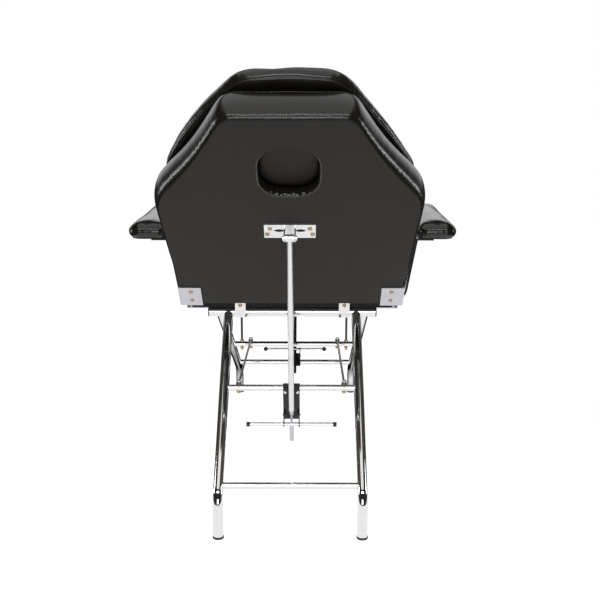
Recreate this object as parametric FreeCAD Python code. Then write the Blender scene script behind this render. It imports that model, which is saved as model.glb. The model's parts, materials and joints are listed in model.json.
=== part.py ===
import FreeCAD, Part
import math
import os

# Reclining tattoo chair on a folding-style tube stand, in millimetres and degrees.
# +Z is up, the sitter faces -Y, and +X is on the sitter's left.
# While it is built, Y is measured from the ridge tube and Z from the floor.

V = FreeCAD.Vector

# Stand
ridge_height = 451.0
ridge_dia = 28.0
front_leg_spacing = 385.0
leg_step = 22.5
rear_leg_spacing = front_leg_spacing - 2 * leg_step
ridge_overhang = 32.0
ridge_length = front_leg_spacing + 2 * ridge_overhang
leg_dia = 25.0
stretcher_dia = 16.0
tube_wall = 1.5
rear_foot_reach = 398.0
front_foot_reach = 641.0
rear_bend_height = 99.0
front_bend_height = 85.0
rear_upper_height = 296.0
rear_lower_height = 121.0
front_upper_height = 264.0
front_lower_height = 135.0

# Upholstery
board_thickness = 18.0
foam_thickness = 92.0
pillow_thickness = 40.0
section_half_width = 268.0
shoulder_half_width = 290.0
head_half_width = 131.0
waist_half_width = 202.0
shoulder_reach = 378.0
waist_reach = 490.0
back_length = 604.0
seat_length = 550.0
leg_length = 556.0
side_bulge = 4.0
hinge_gap = 8.0
lower_hinge_gap = 6.0

# Backrest pose and linkage
pivot_setback = 60.0
recline_rest = 50.0
back_pin_along = 294.0
back_pin_depth = 141.0
back_strut_dia = 14.0
back_strut_stub = 164.0
leg_pin_along = 310.0
leg_pin_depth = 25.0
leg_strut_dia = 10.0
leg_strut_stub = 50.0

# Armrests
arm_pad_outer = 430.0
arm_pad_width = 96.0
arm_pad_length = 420.0
arm_pad_height = 47.0
arm_pad_underside = 645.0
arm_tube_dia = 19.0
arm_head_inset = 97.0
arm_lean = 34.0
arm_slide = 60.0

# Fits
seat_clearance = 0.3
running_clearance = 0.1
soft_clearance = 1.0
overrun = 5.0

# Sizes that follow from the ones above
leg_r = leg_dia / 2
stretcher_r = stretcher_dia / 2
ridge_r = ridge_dia / 2
board_bottom = ridge_height + ridge_r + seat_clearance
board_top = board_bottom + board_thickness
pivot_height = board_top + foam_thickness
pivot_depth = board_thickness + foam_thickness
cushion_height = pivot_depth + pillow_thickness
seat_rear = pivot_setback
seat_front = pivot_setback - seat_length
leaf_thickness = 3.0
knuckle_r = 5.0
leg_axis_height = board_bottom - knuckle_r


def leg_y(height, foot_reach, bend_height):
    """Where a leg's straight part is at a height, as a distance from the ridge."""
    return foot_reach * (ridge_height - height) / (ridge_height - bend_height)


rear_upper_y = leg_y(rear_upper_height, rear_foot_reach, rear_bend_height)
rear_lower_y = leg_y(rear_lower_height, rear_foot_reach, rear_bend_height)
front_upper_y = -leg_y(front_upper_height, front_foot_reach, front_bend_height)
front_lower_y = -leg_y(front_lower_height, front_foot_reach, front_bend_height)


def linkage(pivot, clutch, pin, offset):
    """Length and direction of a strut that passes its clutch's axis at an offset."""
    across = clutch - pin
    direct = math.hypot(across.y, across.z)
    heading = math.atan2(across.z, across.y) + math.asin(offset / direct)
    return math.sqrt(direct**2 - offset**2), math.degrees(heading)


def turned(y, z, degrees):
    a = math.radians(degrees)
    return V(0, y * math.cos(a) - z * math.sin(a), y * math.sin(a) + z * math.cos(a))


back_pivot = V(0, pivot_setback, pivot_height)
leg_pivot = V(0, seat_front, leg_axis_height)
back_clutch_axis = V(0, rear_upper_y, rear_upper_height)
leg_clutch_axis = V(0, front_lower_y, front_lower_height)
ring_wall = 3.0
plate_wall = 3.0
guide_clearance = 0.8
guide_floor = 1.0


def strut_offset(strut_dia):
    """From a clutch's axis to the middle of the strut that runs over its plate."""
    ring = stretcher_r + seat_clearance + ring_wall
    return ring + plate_wall + guide_floor + guide_clearance + strut_dia / 2


back_offset = strut_offset(back_strut_dia)
leg_offset = strut_offset(leg_strut_dia)
back_pin = back_pivot + turned(back_pin_along, -back_pin_depth, recline_rest)
leg_pin = leg_pivot + V(0, -leg_pin_along, -leg_pin_depth)
back_span, back_heading = linkage(back_pivot, back_clutch_axis, back_pin, back_offset)
leg_span, leg_heading = linkage(leg_pivot, leg_clutch_axis, leg_pin, leg_offset)
right_angle = 90.0
back_tilt = back_heading + right_angle
leg_tilt = leg_heading + right_angle


def box(x0, x1, y0, y1, z0, z1):
    return Part.makeBox(x1 - x0, y1 - y0, z1 - z0, V(x0, y0, z0))


def bar(start, end, radius):
    return Part.makeCylinder(radius, (end - start).Length, start, end - start)


def pipe(start, end, radius, wall):
    return bar(start, end, radius).cut(bar(start, end, radius - wall))


def cross_bar(x0, x1, y, z, radius):
    return bar(V(x0, y, z), V(x1, y, z), radius)


def fused(shapes):
    whole = shapes[0].multiFuse(shapes[1:]) if len(shapes) > 1 else shapes[0]
    return whole.removeSplitter()


def group(shapes):
    return Part.makeCompound(shapes)


def mirrored(shape):
    return shape.mirror(V(0, 0, 0), V(1, 0, 0))


def swung(shape, degrees, place):
    """A piece drawn about its own X axis, turned and carried to its place."""
    moved = shape.copy()
    moved.rotate(V(0, 0, 0), V(1, 0, 0), degrees)
    moved.translate(place)
    return moved


def on_back(shape):
    """From the backrest's own frame (x, along, above the hinge line) to the chair."""
    return swung(shape, recline_rest, back_pivot)


def path_with_bends(points, bend_radius):
    """Straight runs joined by tangent arcs."""
    edges = []
    start = points[0]
    for before, corner, after in zip(points, points[1:], points[2:]):
        inward = (before - corner).normalize()
        outward = (after - corner).normalize()
        half = inward.getAngle(outward) / 2
        reach = bend_radius / math.tan(half)
        enter = corner + inward * reach
        leave = corner + outward * reach
        middle = (inward + outward).normalize()
        centre = corner + middle * (bend_radius / math.sin(half))
        edges.append(Part.LineSegment(start, enter).toShape())
        edges.append(Part.Arc(enter, centre - middle * bend_radius, leave).toShape())
        start = leave
    edges.append(Part.LineSegment(start, points[-1]).toShape())
    return Part.Wire(edges)


def bent_rod(points, bend_radius, radius):
    path = path_with_bends(points, bend_radius)
    along = points[1] - points[0]
    ring = Part.Wire([Part.Circle(points[0], along, radius).toShape()])
    return path.makePipeShell([ring], True, False)


def rounded_outline(points, offsets, radii, height):
    """A convex outline, each side moved out by its offset, each corner rounded."""
    count = len(points)
    lines = []
    for i in range(count):
        a, b = points[i], points[(i + 1) % count]
        along = V(b[0] - a[0], b[1] - a[1], 0).normalize()
        out = V(along.y, -along.x, 0)
        lines.append((V(a[0], a[1], 0) + out * offsets[i], along))
    corners = []
    for i in range(count):
        (p, d), (q, e) = lines[i - 1], lines[i]
        t = ((q.x - p.x) * e.y - (q.y - p.y) * e.x) / (d.x * e.y - d.y * e.x)
        corners.append(p + d * t + V(0, 0, height))
    edges = []
    joints = []
    for i in range(count):
        corner = corners[i]
        inward = (corners[i - 1] - corner).normalize()
        outward = (corners[(i + 1) % count] - corner).normalize()
        half = inward.getAngle(outward) / 2
        reach = radii[i] / math.tan(half)
        middle = (inward + outward).normalize()
        centre = corner + middle * (radii[i] / math.sin(half))
        enter, leave = corner + inward * reach, corner + outward * reach
        joints.append((enter, centre - middle * radii[i], leave))
    for i in range(count):
        enter, top, leave = joints[i]
        edges.append(Part.Arc(enter, top, leave).toShape())
        edges.append(Part.LineSegment(leave, joints[(i + 1) % count][0]).toShape())
    return Part.Wire(edges)


def slab(points, radii, low, high, out=0.0):
    outline = rounded_outline(points, [out] * len(points), radii, low)
    return Part.Face(outline).extrude(V(0, 0, high - low))


# Sections of a cushion from its base up: height as a share of the thickness, the share
# of its swell, and how far the outline and the side at a hinge draw in, both as
# shares of the thickness
foam_section_shares = (
    (0.0, 0.0, 0.01, 0.03),
    (0.1, 0.7, 0.0, 0.01),
    (0.5, 1.0, 0.0, -0.01),
    (0.9, 0.6, 0.0, 0.01),
    (1.0, 0.0, 0.06, 0.03),
)
pillow_section_shares = (
    (0.0, 0.0, 0.14, 0.12),
    (0.16, 0.6, 0.0, 0.1),
    (0.45, 1.0, 0.0, 0.2),
    (0.75, 0.6, 0.12, 0.5),
    (0.93, 0.0, 0.5, 0.85),
    (1.0, 0.0, 1.3, 1.55),
)


def cushion(points, swell, radii, bottom, thickness, section_shares, hinge_side=None):
    """A crowned pad with swollen sides and drawn-in seams, sloped back at a hinge."""
    outlines = []
    for height_share, swell_share, inset_share, hinge_share in section_shares:
        corners = [
            (x + swell_share * dx, y + swell_share * dy) for (x, y), (dx, dy) in zip(points, swell)
        ]
        inset = inset_share * thickness
        offsets = [-inset] * len(points)
        if hinge_side is not None:
            offsets[hinge_side] = -hinge_share * thickness
        rounds = [max(r - inset, min(radii) / 2) for r in radii]
        height = bottom + height_share * thickness
        outlines.append(rounded_outline(corners, offsets, rounds, height))
    return Part.makeLoft(outlines, True, False)


screw_r = 2.25
screw_head_r = 5.2
head_taper_share = 0.7
screw_head_height = 2.5
screw_length = 14.0


def screws(seats):
    """Pan-head screws: each seat is where a head rests and which way its shank goes."""
    made = []
    for seat, axis in seats:
        top_r = screw_head_r * head_taper_share
        head = Part.makeCone(screw_head_r, top_r, screw_head_height, seat, axis * -1)
        made.append(head.fuse(bar(seat, seat + axis * screw_length, screw_r)).removeSplitter())
    return group(made)


def drilled(shape, seats):
    """Clears the shanks of a set of screws out of a piece."""
    holes = [bar(seat - axis * overrun, seat + axis * screw_length, screw_r) for seat, axis in seats]
    return shape.cut(group(holes))


def lens(length, width, thickness, middle, along, across):
    """A leaf-shaped cutter, to pierce a plate: two arcs that meet in points."""
    tip, side = along * (length / 2), across * (width / 2)
    outline = Part.Wire([
        Part.Arc(middle - tip, middle + side, middle + tip).toShape(),
        Part.Arc(middle + tip, middle - side, middle - tip).toShape(),
    ])
    through = along.cross(across) * thickness
    cutter = Part.Face(outline).extrude(through * 2)
    cutter.translate(through * -1)
    return cutter


hex_sides = 6


def hex_nut(centre, axis, across_flats, height, bore_r):
    corner_r = across_flats / math.sqrt(3)
    points = []
    for i in range(hex_sides + 1):
        a = math.tau * i / hex_sides
        points.append(V(corner_r * math.cos(a), corner_r * math.sin(a), 0))
    nut = Part.Face(Part.makePolygon(points)).extrude(V(0, 0, height))
    nut = nut.cut(Part.makeCylinder(bore_r, height))
    turn = FreeCAD.Rotation(V(0, 0, 1), axis)
    nut.Placement = FreeCAD.Placement(centre, turn)
    return nut


parts = {}

# Ridge tube with plugged ends
cap_flange = 3.0
cap_depth = 18.0


def plug_cap(end, axis, tube_r, flange, depth, rim=0.5):
    """An end plug: a flange on the tube's end and a shank inside it."""
    inner = tube_r - tube_wall - running_clearance
    disc = bar(end, end + axis * flange, tube_r + rim)
    return disc.fuse(bar(end - axis * depth, end, inner)).removeSplitter()


ridge_half = ridge_length / 2 - cap_flange
ridge = pipe(V(-ridge_half, 0, ridge_height), V(ridge_half, 0, ridge_height), ridge_r, tube_wall)
parts["ridge_tube"] = ridge
ridge_caps = [
    plug_cap(V(side * ridge_half, 0, ridge_height), V(side, 0, 0), ridge_r, cap_flange, cap_depth, 0.0)
    for side in (-1, 1)
]

# Legs: bent tubes coped to the ridge, each with a foot cap
leg_bend_radius = 60.0
foot_floor = 5.0
foot_rim = 1.0
ridge_body = cross_bar(-ridge_length, ridge_length, 0, ridge_height, ridge_r)


def leg(x, reach, bend_height, direction):
    points = [
        V(x, 0, ridge_height),
        V(x, direction * reach, bend_height),
        V(x, direction * reach, foot_floor),
    ]
    outer = bent_rod(points, leg_bend_radius, leg_r)
    inner = bent_rod(points, leg_bend_radius, leg_r - tube_wall)
    return outer, outer.cut(inner).cut(ridge_body)


leg_bodies = {}
foot_caps = []
for end, spacing, reach, bend, direction in (
    ("rear", rear_leg_spacing, rear_foot_reach, rear_bend_height, 1),
    ("front", front_leg_spacing, front_foot_reach, front_bend_height, -1),
):
    for name, side in (("left", 1), ("right", -1)):
        outer, tube = leg(side * spacing / 2, reach, bend, direction)
        leg_bodies[end, name] = outer
        parts[end + "_leg_" + name] = tube
        bottom = V(side * spacing / 2, direction * reach, foot_floor)
        foot_caps.append(plug_cap(bottom, V(0, 0, -1), leg_r, foot_floor, cap_depth, foot_rim))
parts["tube_end_caps"] = group(ridge_caps + foot_caps)


def stretcher(end, spacing, y, z):
    half = spacing / 2
    tube = pipe(V(-half, y, z), V(half, y, z), stretcher_r, tube_wall)
    return tube.cut(leg_bodies[end, "left"]).cut(leg_bodies[end, "right"])


rear_upper = stretcher("rear", rear_leg_spacing, rear_upper_y, rear_upper_height)
front_upper = stretcher("front", front_leg_spacing, front_upper_y, front_upper_height)
parts["rear_lower_stretcher"] = stretcher("rear", rear_leg_spacing, rear_lower_y, rear_lower_height)
parts["front_lower_stretcher"] = stretcher(
    "front", front_leg_spacing, front_lower_y, front_lower_height
)

# Tie rods lie on the two upper stretchers and stop the legs from spreading
post_inset = 32.5
post_half_spacing = front_leg_spacing / 2 - post_inset
tie_gap = 27.0
tie_half_spacing = post_half_spacing - tie_gap
tie_r = 3.0
eye_r = 7.0
eye_height = 8.0
tie_bolt_r = 3.0
tie_bolt_head = 4.0
tie_head_r = 5.6
nut_height = 5.0
nut_flats = 10.0
tie_rods = []
tie_bolts = []
nuts = []
for side in (-1, 1):
    x = side * tie_half_spacing
    ends = []
    eyes = []
    holes = []
    for y, z in ((rear_upper_y, rear_upper_height), (front_upper_y, front_upper_height)):
        top = z + stretcher_r
        eye = bar(V(x, y, z), V(x, y, top + eye_height), eye_r)
        eyes.append(eye.cut(cross_bar(x - eye_r, x + eye_r, y, z, stretcher_r)))
        low = z - stretcher_r - nut_height - tie_bolt_head / 2
        bolt = bar(V(x, y, low), V(x, y, top + eye_height), tie_bolt_r)
        head = bar(V(x, y, top + eye_height), V(x, y, top + eye_height + tie_bolt_head), tie_head_r)
        tie_bolts.append(bolt.fuse(head).removeSplitter())
        nut_seat = V(x, y, z - stretcher_r)
        nuts.append(hex_nut(nut_seat, V(0, 0, -1), nut_flats, nut_height, tie_bolt_r))
        holes.append(bar(V(x, y, low), V(x, y, top + eye_height), tie_bolt_r + running_clearance / 2))
        ends.append(V(x, y, top + eye_height / 2))
    rod = fused([bar(ends[0], ends[1], tie_r)] + eyes)
    rod = rod.cut(cross_bar(x - eye_r, x + eye_r, rear_upper_y, rear_upper_height, stretcher_r))
    rod = rod.cut(cross_bar(x - eye_r, x + eye_r, front_upper_y, front_upper_height, stretcher_r))
    tie_rods.append(rod.cut(group(holes)))
    rear_upper = rear_upper.cut(group(holes))
    front_upper = front_upper.cut(group(holes))
parts["tie_rods"] = group(tie_rods)
parts["tie_rod_bolts"] = group(tie_bolts)

# Threaded posts carry the front of the seat on the front upper stretcher
post_r = 3.5
post_flange_half = 20.0
post_screw_reach = 13.0
up = V(0, 0, 1)
seat_seats = []
posts = []
for side in (-1, 1):
    x = side * post_half_spacing
    low = V(x, front_upper_y, front_upper_height - stretcher_r - 2 * nut_height)
    neck = V(x, front_upper_y, front_upper_height + stretcher_r + nut_height)
    stud = bar(low, neck, tie_bolt_r)
    shank = bar(neck, V(x, front_upper_y, board_bottom), post_r)
    flange = box(
        x - post_flange_half, x + post_flange_half,
        front_upper_y - post_flange_half, front_upper_y + post_flange_half,
        board_bottom - leaf_thickness, board_bottom,
    )
    posts.append(fused([stud, shank, flange]))
    front_upper = front_upper.cut(stud)
    for reach in (-1, 1):
        corner = V(x + reach * post_screw_reach, front_upper_y + reach * post_screw_reach, board_bottom)
        seat_seats.append((corner - up * leaf_thickness, up))
    for seat, axis in ((front_upper_height - stretcher_r, -1), (front_upper_height + stretcher_r, 1)):
        nuts.append(hex_nut(V(x, front_upper_y, seat), up * axis, nut_flats, nut_height, tie_bolt_r))
parts["frame_nuts"] = group(nuts)
parts["rear_upper_stretcher"] = rear_upper
parts["front_upper_stretcher"] = front_upper

# Straps hold the ridge tube up against the seat board
strap_inset = 32.0
strap_half_spacing = rear_leg_spacing / 2 - strap_inset
strap_width = 28.0
strap_wall = 2.5
strap_foot = 24.0
strap_rise = 12.0
straps = []
for side in (-1, 1):
    middle = side * strap_half_spacing
    x0, x1 = middle - strap_width / 2, middle + strap_width / 2
    inner_r = ridge_r + seat_clearance
    outer_r = inner_r + strap_wall
    ring = cross_bar(x0, x1, 0, ridge_height, outer_r)
    cheeks = box(x0, x1, -outer_r, outer_r, ridge_height, board_bottom)
    foot = box(x0, x1, -outer_r - strap_foot, -inner_r, board_bottom - strap_wall, board_bottom)
    tail = box(x0, x1, inner_r, outer_r, board_bottom, board_bottom + strap_rise)
    hollow = cross_bar(x0, x1, 0, ridge_height, inner_r)
    slot = box(x0, x1, -inner_r, inner_r, ridge_height, board_bottom)
    above = box(x0, x1, -outer_r, inner_r, board_bottom, board_bottom + outer_r)
    strap = fused([ring, cheeks]).cut(fused([hollow, slot, above]))
    straps.append(fused([strap, foot, tail]))
    seat_seats.append((V(middle, -outer_r - strap_foot / 2, board_bottom - strap_wall), up))
    seat_seats.append((V(middle, outer_r, board_bottom + strap_rise / 2), V(0, -1, 0)))

# Seat board and cushions
board_setback = 4.0
corner_radius = 14.0
far_corner_radius = 60.0
seat_board_rear = ridge_r + seat_clearance
seat_board_front = seat_front + lower_hinge_gap / 2
seat_half = section_half_width
seat_points = (
    (-seat_half, seat_front + lower_hinge_gap),
    (seat_half, seat_front + lower_hinge_gap),
    (seat_half, seat_rear - hinge_gap),
    (-seat_half, seat_rear - hinge_gap),
)
seat_radii = [corner_radius] * 4
corner_swell = [(-side_bulge, 0), (side_bulge, 0), (side_bulge, 0), (-side_bulge, 0)]
rear_side = len(seat_points) // 2
seat_foam = cushion(
    seat_points, corner_swell, seat_radii, board_top, foam_thickness, foam_section_shares, rear_side
)
seat_pillow = cushion(
    seat_points, corner_swell, seat_radii, pivot_height, pillow_thickness, pillow_section_shares,
    rear_side,
)
board_half = seat_half - side_bulge / 2
seat_board = box(-board_half, board_half, seat_board_front, seat_board_rear, board_bottom, board_top)

# Leg rest
leg_near = seat_front - lower_hinge_gap
leg_far = leg_near - leg_length
leg_points = (
    (-seat_half, leg_far),
    (seat_half, leg_far),
    (seat_half, leg_near),
    (-seat_half, leg_near),
)
leg_radii = [far_corner_radius, far_corner_radius, corner_radius, corner_radius]
leg_swell = [(x, -side_bulge if i < 2 else 0) for i, (x, y) in enumerate(corner_swell)]
leg_foam = cushion(leg_points, leg_swell, leg_radii, board_top, foam_thickness, foam_section_shares)
leg_pillow = cushion(
    leg_points, leg_swell, leg_radii, pivot_height, pillow_thickness, pillow_section_shares
)
leg_board = slab(
    (
        (-seat_half, leg_far),
        (seat_half, leg_far),
        (seat_half, seat_front - lower_hinge_gap / 2),
        (-seat_half, seat_front - lower_hinge_gap / 2),
    ),
    [far_corner_radius, far_corner_radius, board_setback, board_setback],
    board_bottom, board_top, -side_bulge / 2,
)

# Two butt hinges join the leg board to the seat board from below
butt_half_spacing = 150.0
butt_half_width = 30.0
leaf_reach = 42.0
pin_r = 2.5
knuckle_share = 1 / 3
seat_leaves = []
leg_leaves = []
hinge_pins = []
leg_seats = []
for side in (-1, 1):
    middle = side * butt_half_spacing
    x0, x1 = middle - butt_half_width, middle + butt_half_width
    third = (x1 - x0) * knuckle_share
    y, z = leg_pivot.y, leg_pivot.z
    inner0, inner1 = x0 + third + running_clearance, x1 - third - running_clearance
    bore = cross_bar(x0, x1, y, z, pin_r + running_clearance / 2)
    low = board_bottom - leaf_thickness
    seat_leaf = [box(x0, x1, y + knuckle_r + seat_clearance, y + leaf_reach, low, board_bottom)]
    for k0, k1 in ((x0, x0 + third), (x1 - third, x1)):
        seat_leaf.append(cross_bar(k0, k1, y, z, knuckle_r))
        seat_leaf.append(box(k0, k1, y, y + 2 * knuckle_r, low, board_bottom))
    seat_leaves.append(fused(seat_leaf).cut(cross_bar(x0, x1, y, z, pin_r)))
    leg_leaf = [
        box(x0, x1, y - leaf_reach, y - knuckle_r - seat_clearance, low, board_bottom),
        cross_bar(inner0, inner1, y, z, knuckle_r),
        box(inner0, inner1, y - 2 * knuckle_r, y, low, board_bottom),
    ]
    leg_leaves.append(fused(leg_leaf).cut(bore))
    hinge_pins.append(cross_bar(x0, x1, y, z, pin_r))
    for dx in (-butt_half_width / 2, butt_half_width / 2):
        reach = (leaf_reach + knuckle_r) / 2
        seat_seats.append((V(middle + dx, y + reach, low), up))
        leg_seats.append((V(middle + dx, y - reach, low), up))

# Side plates of the backrest hinge: a leaf on each board and an ear beside the foam
ear_gap = 0.5
ear_wall = 2.5
ear_half = 20.0
ear_eye_r = 16.0
ear_clearance = 2.5
hinge_bolt_r = 4.0
plate_width = 56.0
back_plate_length = 71.0
seat_plate_length = 60.0
ear_inner = section_half_width + side_bulge + ear_clearance
back_ear_outer = ear_inner + ear_wall
seat_ear_inner = back_ear_outer + ear_gap
seat_ear_outer = seat_ear_inner + ear_wall
cover_thickness = 2.0
panel_back = -pivot_depth - cover_thickness


def ear(x0, x1, foot_y0, foot_y1, foot_z):
    """A plate from a foot edge up to a round eye on the pivot line."""
    eye = cross_bar(x0, x1, 0, 0, ear_eye_r)
    outline = [
        V(x0, foot_y0, foot_z), V(x0, foot_y1, foot_z),
        V(x0, ear_eye_r, 0), V(x0, -ear_eye_r, 0), V(x0, foot_y0, foot_z),
    ]
    blade = Part.Face(Part.makePolygon(outline)).extrude(V(x1 - x0, 0, 0))
    return eye.fuse(blade)


back_plate_low = hinge_gap - board_setback
back_plates = []
seat_plates = []
hinge_bolts = []
back_plate_seats = []
plate_screw_inset = 31.0
back_plate_screw_shares = (0.28, 0.76)
seat_plate_screw_shares = (0.25, 0.75)
hinge_head_share = 1.6
for side in (-1, 1):
    leaf = box(
        back_ear_outer - plate_width, back_ear_outer,
        back_plate_low, back_plate_low + back_plate_length,
        panel_back - leaf_thickness, panel_back,
    )
    blade = ear(
        ear_inner, back_ear_outer, back_plate_low, back_plate_low + ear_half * 2,
        panel_back - leaf_thickness,
    )
    bore_r = hinge_bolt_r + running_clearance / 2
    bore = cross_bar(ear_inner - overrun, seat_ear_outer + overrun, 0, 0, bore_r)
    plate = fused([leaf, blade]).cut(bore)
    back_plates.append(plate if side > 0 else mirrored(plate))
    for share in back_plate_screw_shares:
        x = side * (back_ear_outer - plate_screw_inset)
        y = back_plate_low + share * back_plate_length
        back_plate_seats.append((V(x, y, panel_back - leaf_thickness), up))
    foot_z = board_bottom - leaf_thickness - pivot_height
    leaf = box(
        seat_ear_outer - plate_width + ear_wall, seat_ear_outer,
        seat_board_rear - seat_plate_length - pivot_setback, seat_board_rear - pivot_setback,
        foot_z, board_bottom - pivot_height,
    )
    blade = ear(
        seat_ear_inner, seat_ear_outer,
        seat_board_rear - seat_plate_length - pivot_setback, seat_board_rear - pivot_setback, foot_z,
    )
    plate = fused([leaf, blade]).cut(cross_bar(0, seat_ear_outer + overrun, 0, 0, hinge_bolt_r))
    plate.translate(back_pivot)
    seat_plates.append(plate if side > 0 else mirrored(plate))
    shaft = cross_bar(ear_inner, seat_ear_outer, 0, 0, hinge_bolt_r)
    head = Part.makeCone(
        2 * hinge_bolt_r, hinge_head_share * hinge_bolt_r, hinge_bolt_r, V(seat_ear_outer, 0, 0), V(1, 0, 0)
    )
    bolt = shaft.fuse(head).removeSplitter()
    bolt.translate(back_pivot)
    hinge_bolts.append(bolt if side > 0 else mirrored(bolt))
    for share in seat_plate_screw_shares:
        x = side * (seat_ear_outer - plate_width / 2)
        y = seat_board_rear - share * seat_plate_length
        seat_seats.append((V(x, y, board_bottom - leaf_thickness), up))

# Armrest tubes slide in sockets under the seat
socket_y = -85.0
socket_wall = 2.5
socket_inner = 150.0
socket_outer = 244.0
socket_plate_half = 26.0
socket_fit = 0.3
socket_screw_shares = (0.15, 0.85)
arm_tube_r = arm_tube_dia / 2
socket_r = arm_tube_r + socket_fit + socket_wall
socket_z = board_bottom - leaf_thickness - socket_r
arm_bend_radius = 56.0
arm_plate_wall = 5.0
arm_plate_half = 26.0
arm_plate_inset = 14.0
arm_board_thickness = 10.0
arm_head_x = arm_pad_outer - arm_head_inset
arm_knee = arm_head_x - arm_lean
arm_rear = -5.0
arm_plate_margin = 12.0
arm_corner_radius = 30.0
arm_section_shares = (
    (0.0, 0.0, 0.1, 0.0),
    (0.22, 0.0, 0.0, 0.0),
    (0.5, 0.0, 0.02, 0.0),
    (0.78, 0.0, 0.18, 0.0),
    (0.94, 0.0, 0.5, 0.0),
    (1.0, 0.0, 0.85, 0.0),
)
sockets = []
for side in (-1, 1):
    inner_end, outer_end = V(socket_inner, socket_y, socket_z), V(socket_outer, socket_y, socket_z)
    tube = pipe(inner_end, outer_end, socket_r, socket_wall)
    plate = box(
        socket_inner, socket_outer, socket_y - socket_plate_half, socket_y + socket_plate_half,
        board_bottom - leaf_thickness, board_bottom,
    )
    web = box(
        socket_inner, socket_outer, socket_y - socket_wall, socket_y + socket_wall,
        socket_z + socket_r - socket_wall, board_bottom,
    )
    hollow = cross_bar(socket_inner, socket_outer, socket_y, socket_z, arm_tube_r + socket_fit)
    socket = fused([tube, plate, web]).cut(hollow)
    sockets.append(socket if side > 0 else mirrored(socket))
    for share in socket_screw_shares:
        x = side * (socket_inner + share * (socket_outer - socket_inner))
        for dy in (-1, 1):
            y = socket_y + dy * (socket_plate_half + socket_r) / 2
            seat_seats.append((V(x, y, board_bottom - leaf_thickness), up))


def arm(side):
    """Tube with its plate, board and pad of one armrest, drawn on the left side."""
    top = arm_pad_underside - arm_plate_wall
    points = [
        V(socket_inner + overrun, socket_y, socket_z),
        V(arm_knee, socket_y, socket_z),
        V(arm_head_x, socket_y, top),
    ]
    hollow = bent_rod(points, arm_bend_radius, arm_tube_r - tube_wall)
    tube = bent_rod(points, arm_bend_radius, arm_tube_r).cut(hollow)
    tube = tube.cut(box(0, 2 * arm_pad_outer, socket_y - leg_dia, socket_y + leg_dia, top, top + leg_dia))
    middle_x = arm_pad_outer - arm_pad_width + arm_plate_inset
    rear = arm_rear
    front = arm_rear - arm_pad_length
    plate = box(
        middle_x - arm_plate_half, middle_x + arm_plate_half,
        front + arm_pad_length / 4, rear - arm_plate_margin, top, arm_pad_underside,
    )
    points = (
        (arm_pad_outer - arm_pad_width, front), (arm_pad_outer, front),
        (arm_pad_outer, rear), (arm_pad_outer - arm_pad_width, rear),
    )
    radii = [arm_corner_radius] * 4
    board_top_z = arm_pad_underside + arm_board_thickness
    board = slab(points, radii, arm_pad_underside, board_top_z, -side_bulge)
    pad = cushion(
        points, [(0, 0)] * 4, radii, board_top_z, arm_pad_height - arm_board_thickness, arm_section_shares
    )
    shapes = {"tube": fused([tube, plate]), "board": board, "pad": pad}
    return {k: s if side > 0 else mirrored(s) for k, s in shapes.items()}


for name, side in (("left", 1), ("right", -1)):
    for piece, shape in arm(side).items():
        parts["arm_" + piece + "_" + name] = shape

# Backrest, drawn flat in its own frame: X across, Y along from the hinge, Z above it
shoulder_radius = 90.0
head_radius = 32.0
pillow_head_radius = 84.0
waist_radius = 800.0
back_radii = [corner_radius, shoulder_radius, waist_radius, head_radius]
back_radii += back_radii[::-1]
pillow_radii = [corner_radius, shoulder_radius, waist_radius, pillow_head_radius]
pillow_radii += pillow_radii[::-1]
shoulder_swell = 11.0
waist_swell = 6.0
head_swell = 7.0


def both_sides(left_half):
    """The right half of a symmetric list, then the left half mirrored, going round."""
    return tuple(left_half) + tuple((-x, y) for x, y in reversed(left_half))


foam_swell = both_sides((
    (side_bulge, 0), (shoulder_swell, head_swell / 2), (waist_swell, waist_swell / 2),
    (head_swell / 2, head_swell),
))
pillow_swell = both_sides(((side_bulge, 0), (0, 0), (0, 0), (0, head_swell)))
panel_inset = 1.0
head_lead = 10.0
taper = (waist_half_width - head_half_width) / (hinge_gap + back_length - waist_reach)
back_half = (
    (section_half_width, hinge_gap), (shoulder_half_width, shoulder_reach),
    (waist_half_width, waist_reach), (head_half_width, hinge_gap + back_length),
)
pillow_half = back_half[:3] + ((head_half_width - taper * head_lead, hinge_gap + back_length + head_lead),)
back_points = both_sides(back_half)
pillow_points = both_sides(pillow_half)
hinge_edge = len(back_points) - 1
hole_half_width = 69.0
hole_half_length = 73.5
hole_along = 465.0
hole_radius = 56.0
hole_points = (
    (-hole_half_width, hole_along - hole_half_length),
    (hole_half_width, hole_along - hole_half_length),
    (hole_half_width, hole_along + hole_half_length),
    (-hole_half_width, hole_along + hole_half_length),
)
hole_radii = [hole_radius] * 4
face_hole = slab(hole_points, hole_radii, panel_back - overrun, cushion_height)
lining_wall = 8.0
lined_hole = slab(
    hole_points, [hole_radius + lining_wall] * 4, -pivot_depth, -foam_thickness, lining_wall
)
back_foam = cushion(
    back_points, foam_swell, back_radii, -foam_thickness, foam_thickness, foam_section_shares, hinge_edge
)
back_pillow = cushion(
    pillow_points, pillow_swell, pillow_radii, 0, pillow_thickness, pillow_section_shares, hinge_edge
)
back_board = slab(back_points, back_radii, -pivot_depth, -foam_thickness, -side_bulge / 2)
back_cover = slab(back_points, back_radii, panel_back, -pivot_depth, -panel_inset)
plug_recess = 30.0
plug_crown_shares = ((0.0, -2.0), (0.07, 0.0), (0.84, 0.0), (0.95, -2.0), (1.0, -7.0))
plug_bottom = panel_back + plug_recess
plug_height = pillow_thickness - plug_bottom
plug = Part.makeLoft([
    rounded_outline(
        hole_points, [share * side_bulge / 2 - seat_clearance] * 4,
        [hole_radius + share * side_bulge / 2 - seat_clearance] * 4, plug_bottom + height * plug_height,
    )
    for height, share in plug_crown_shares
], True, True)

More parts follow.
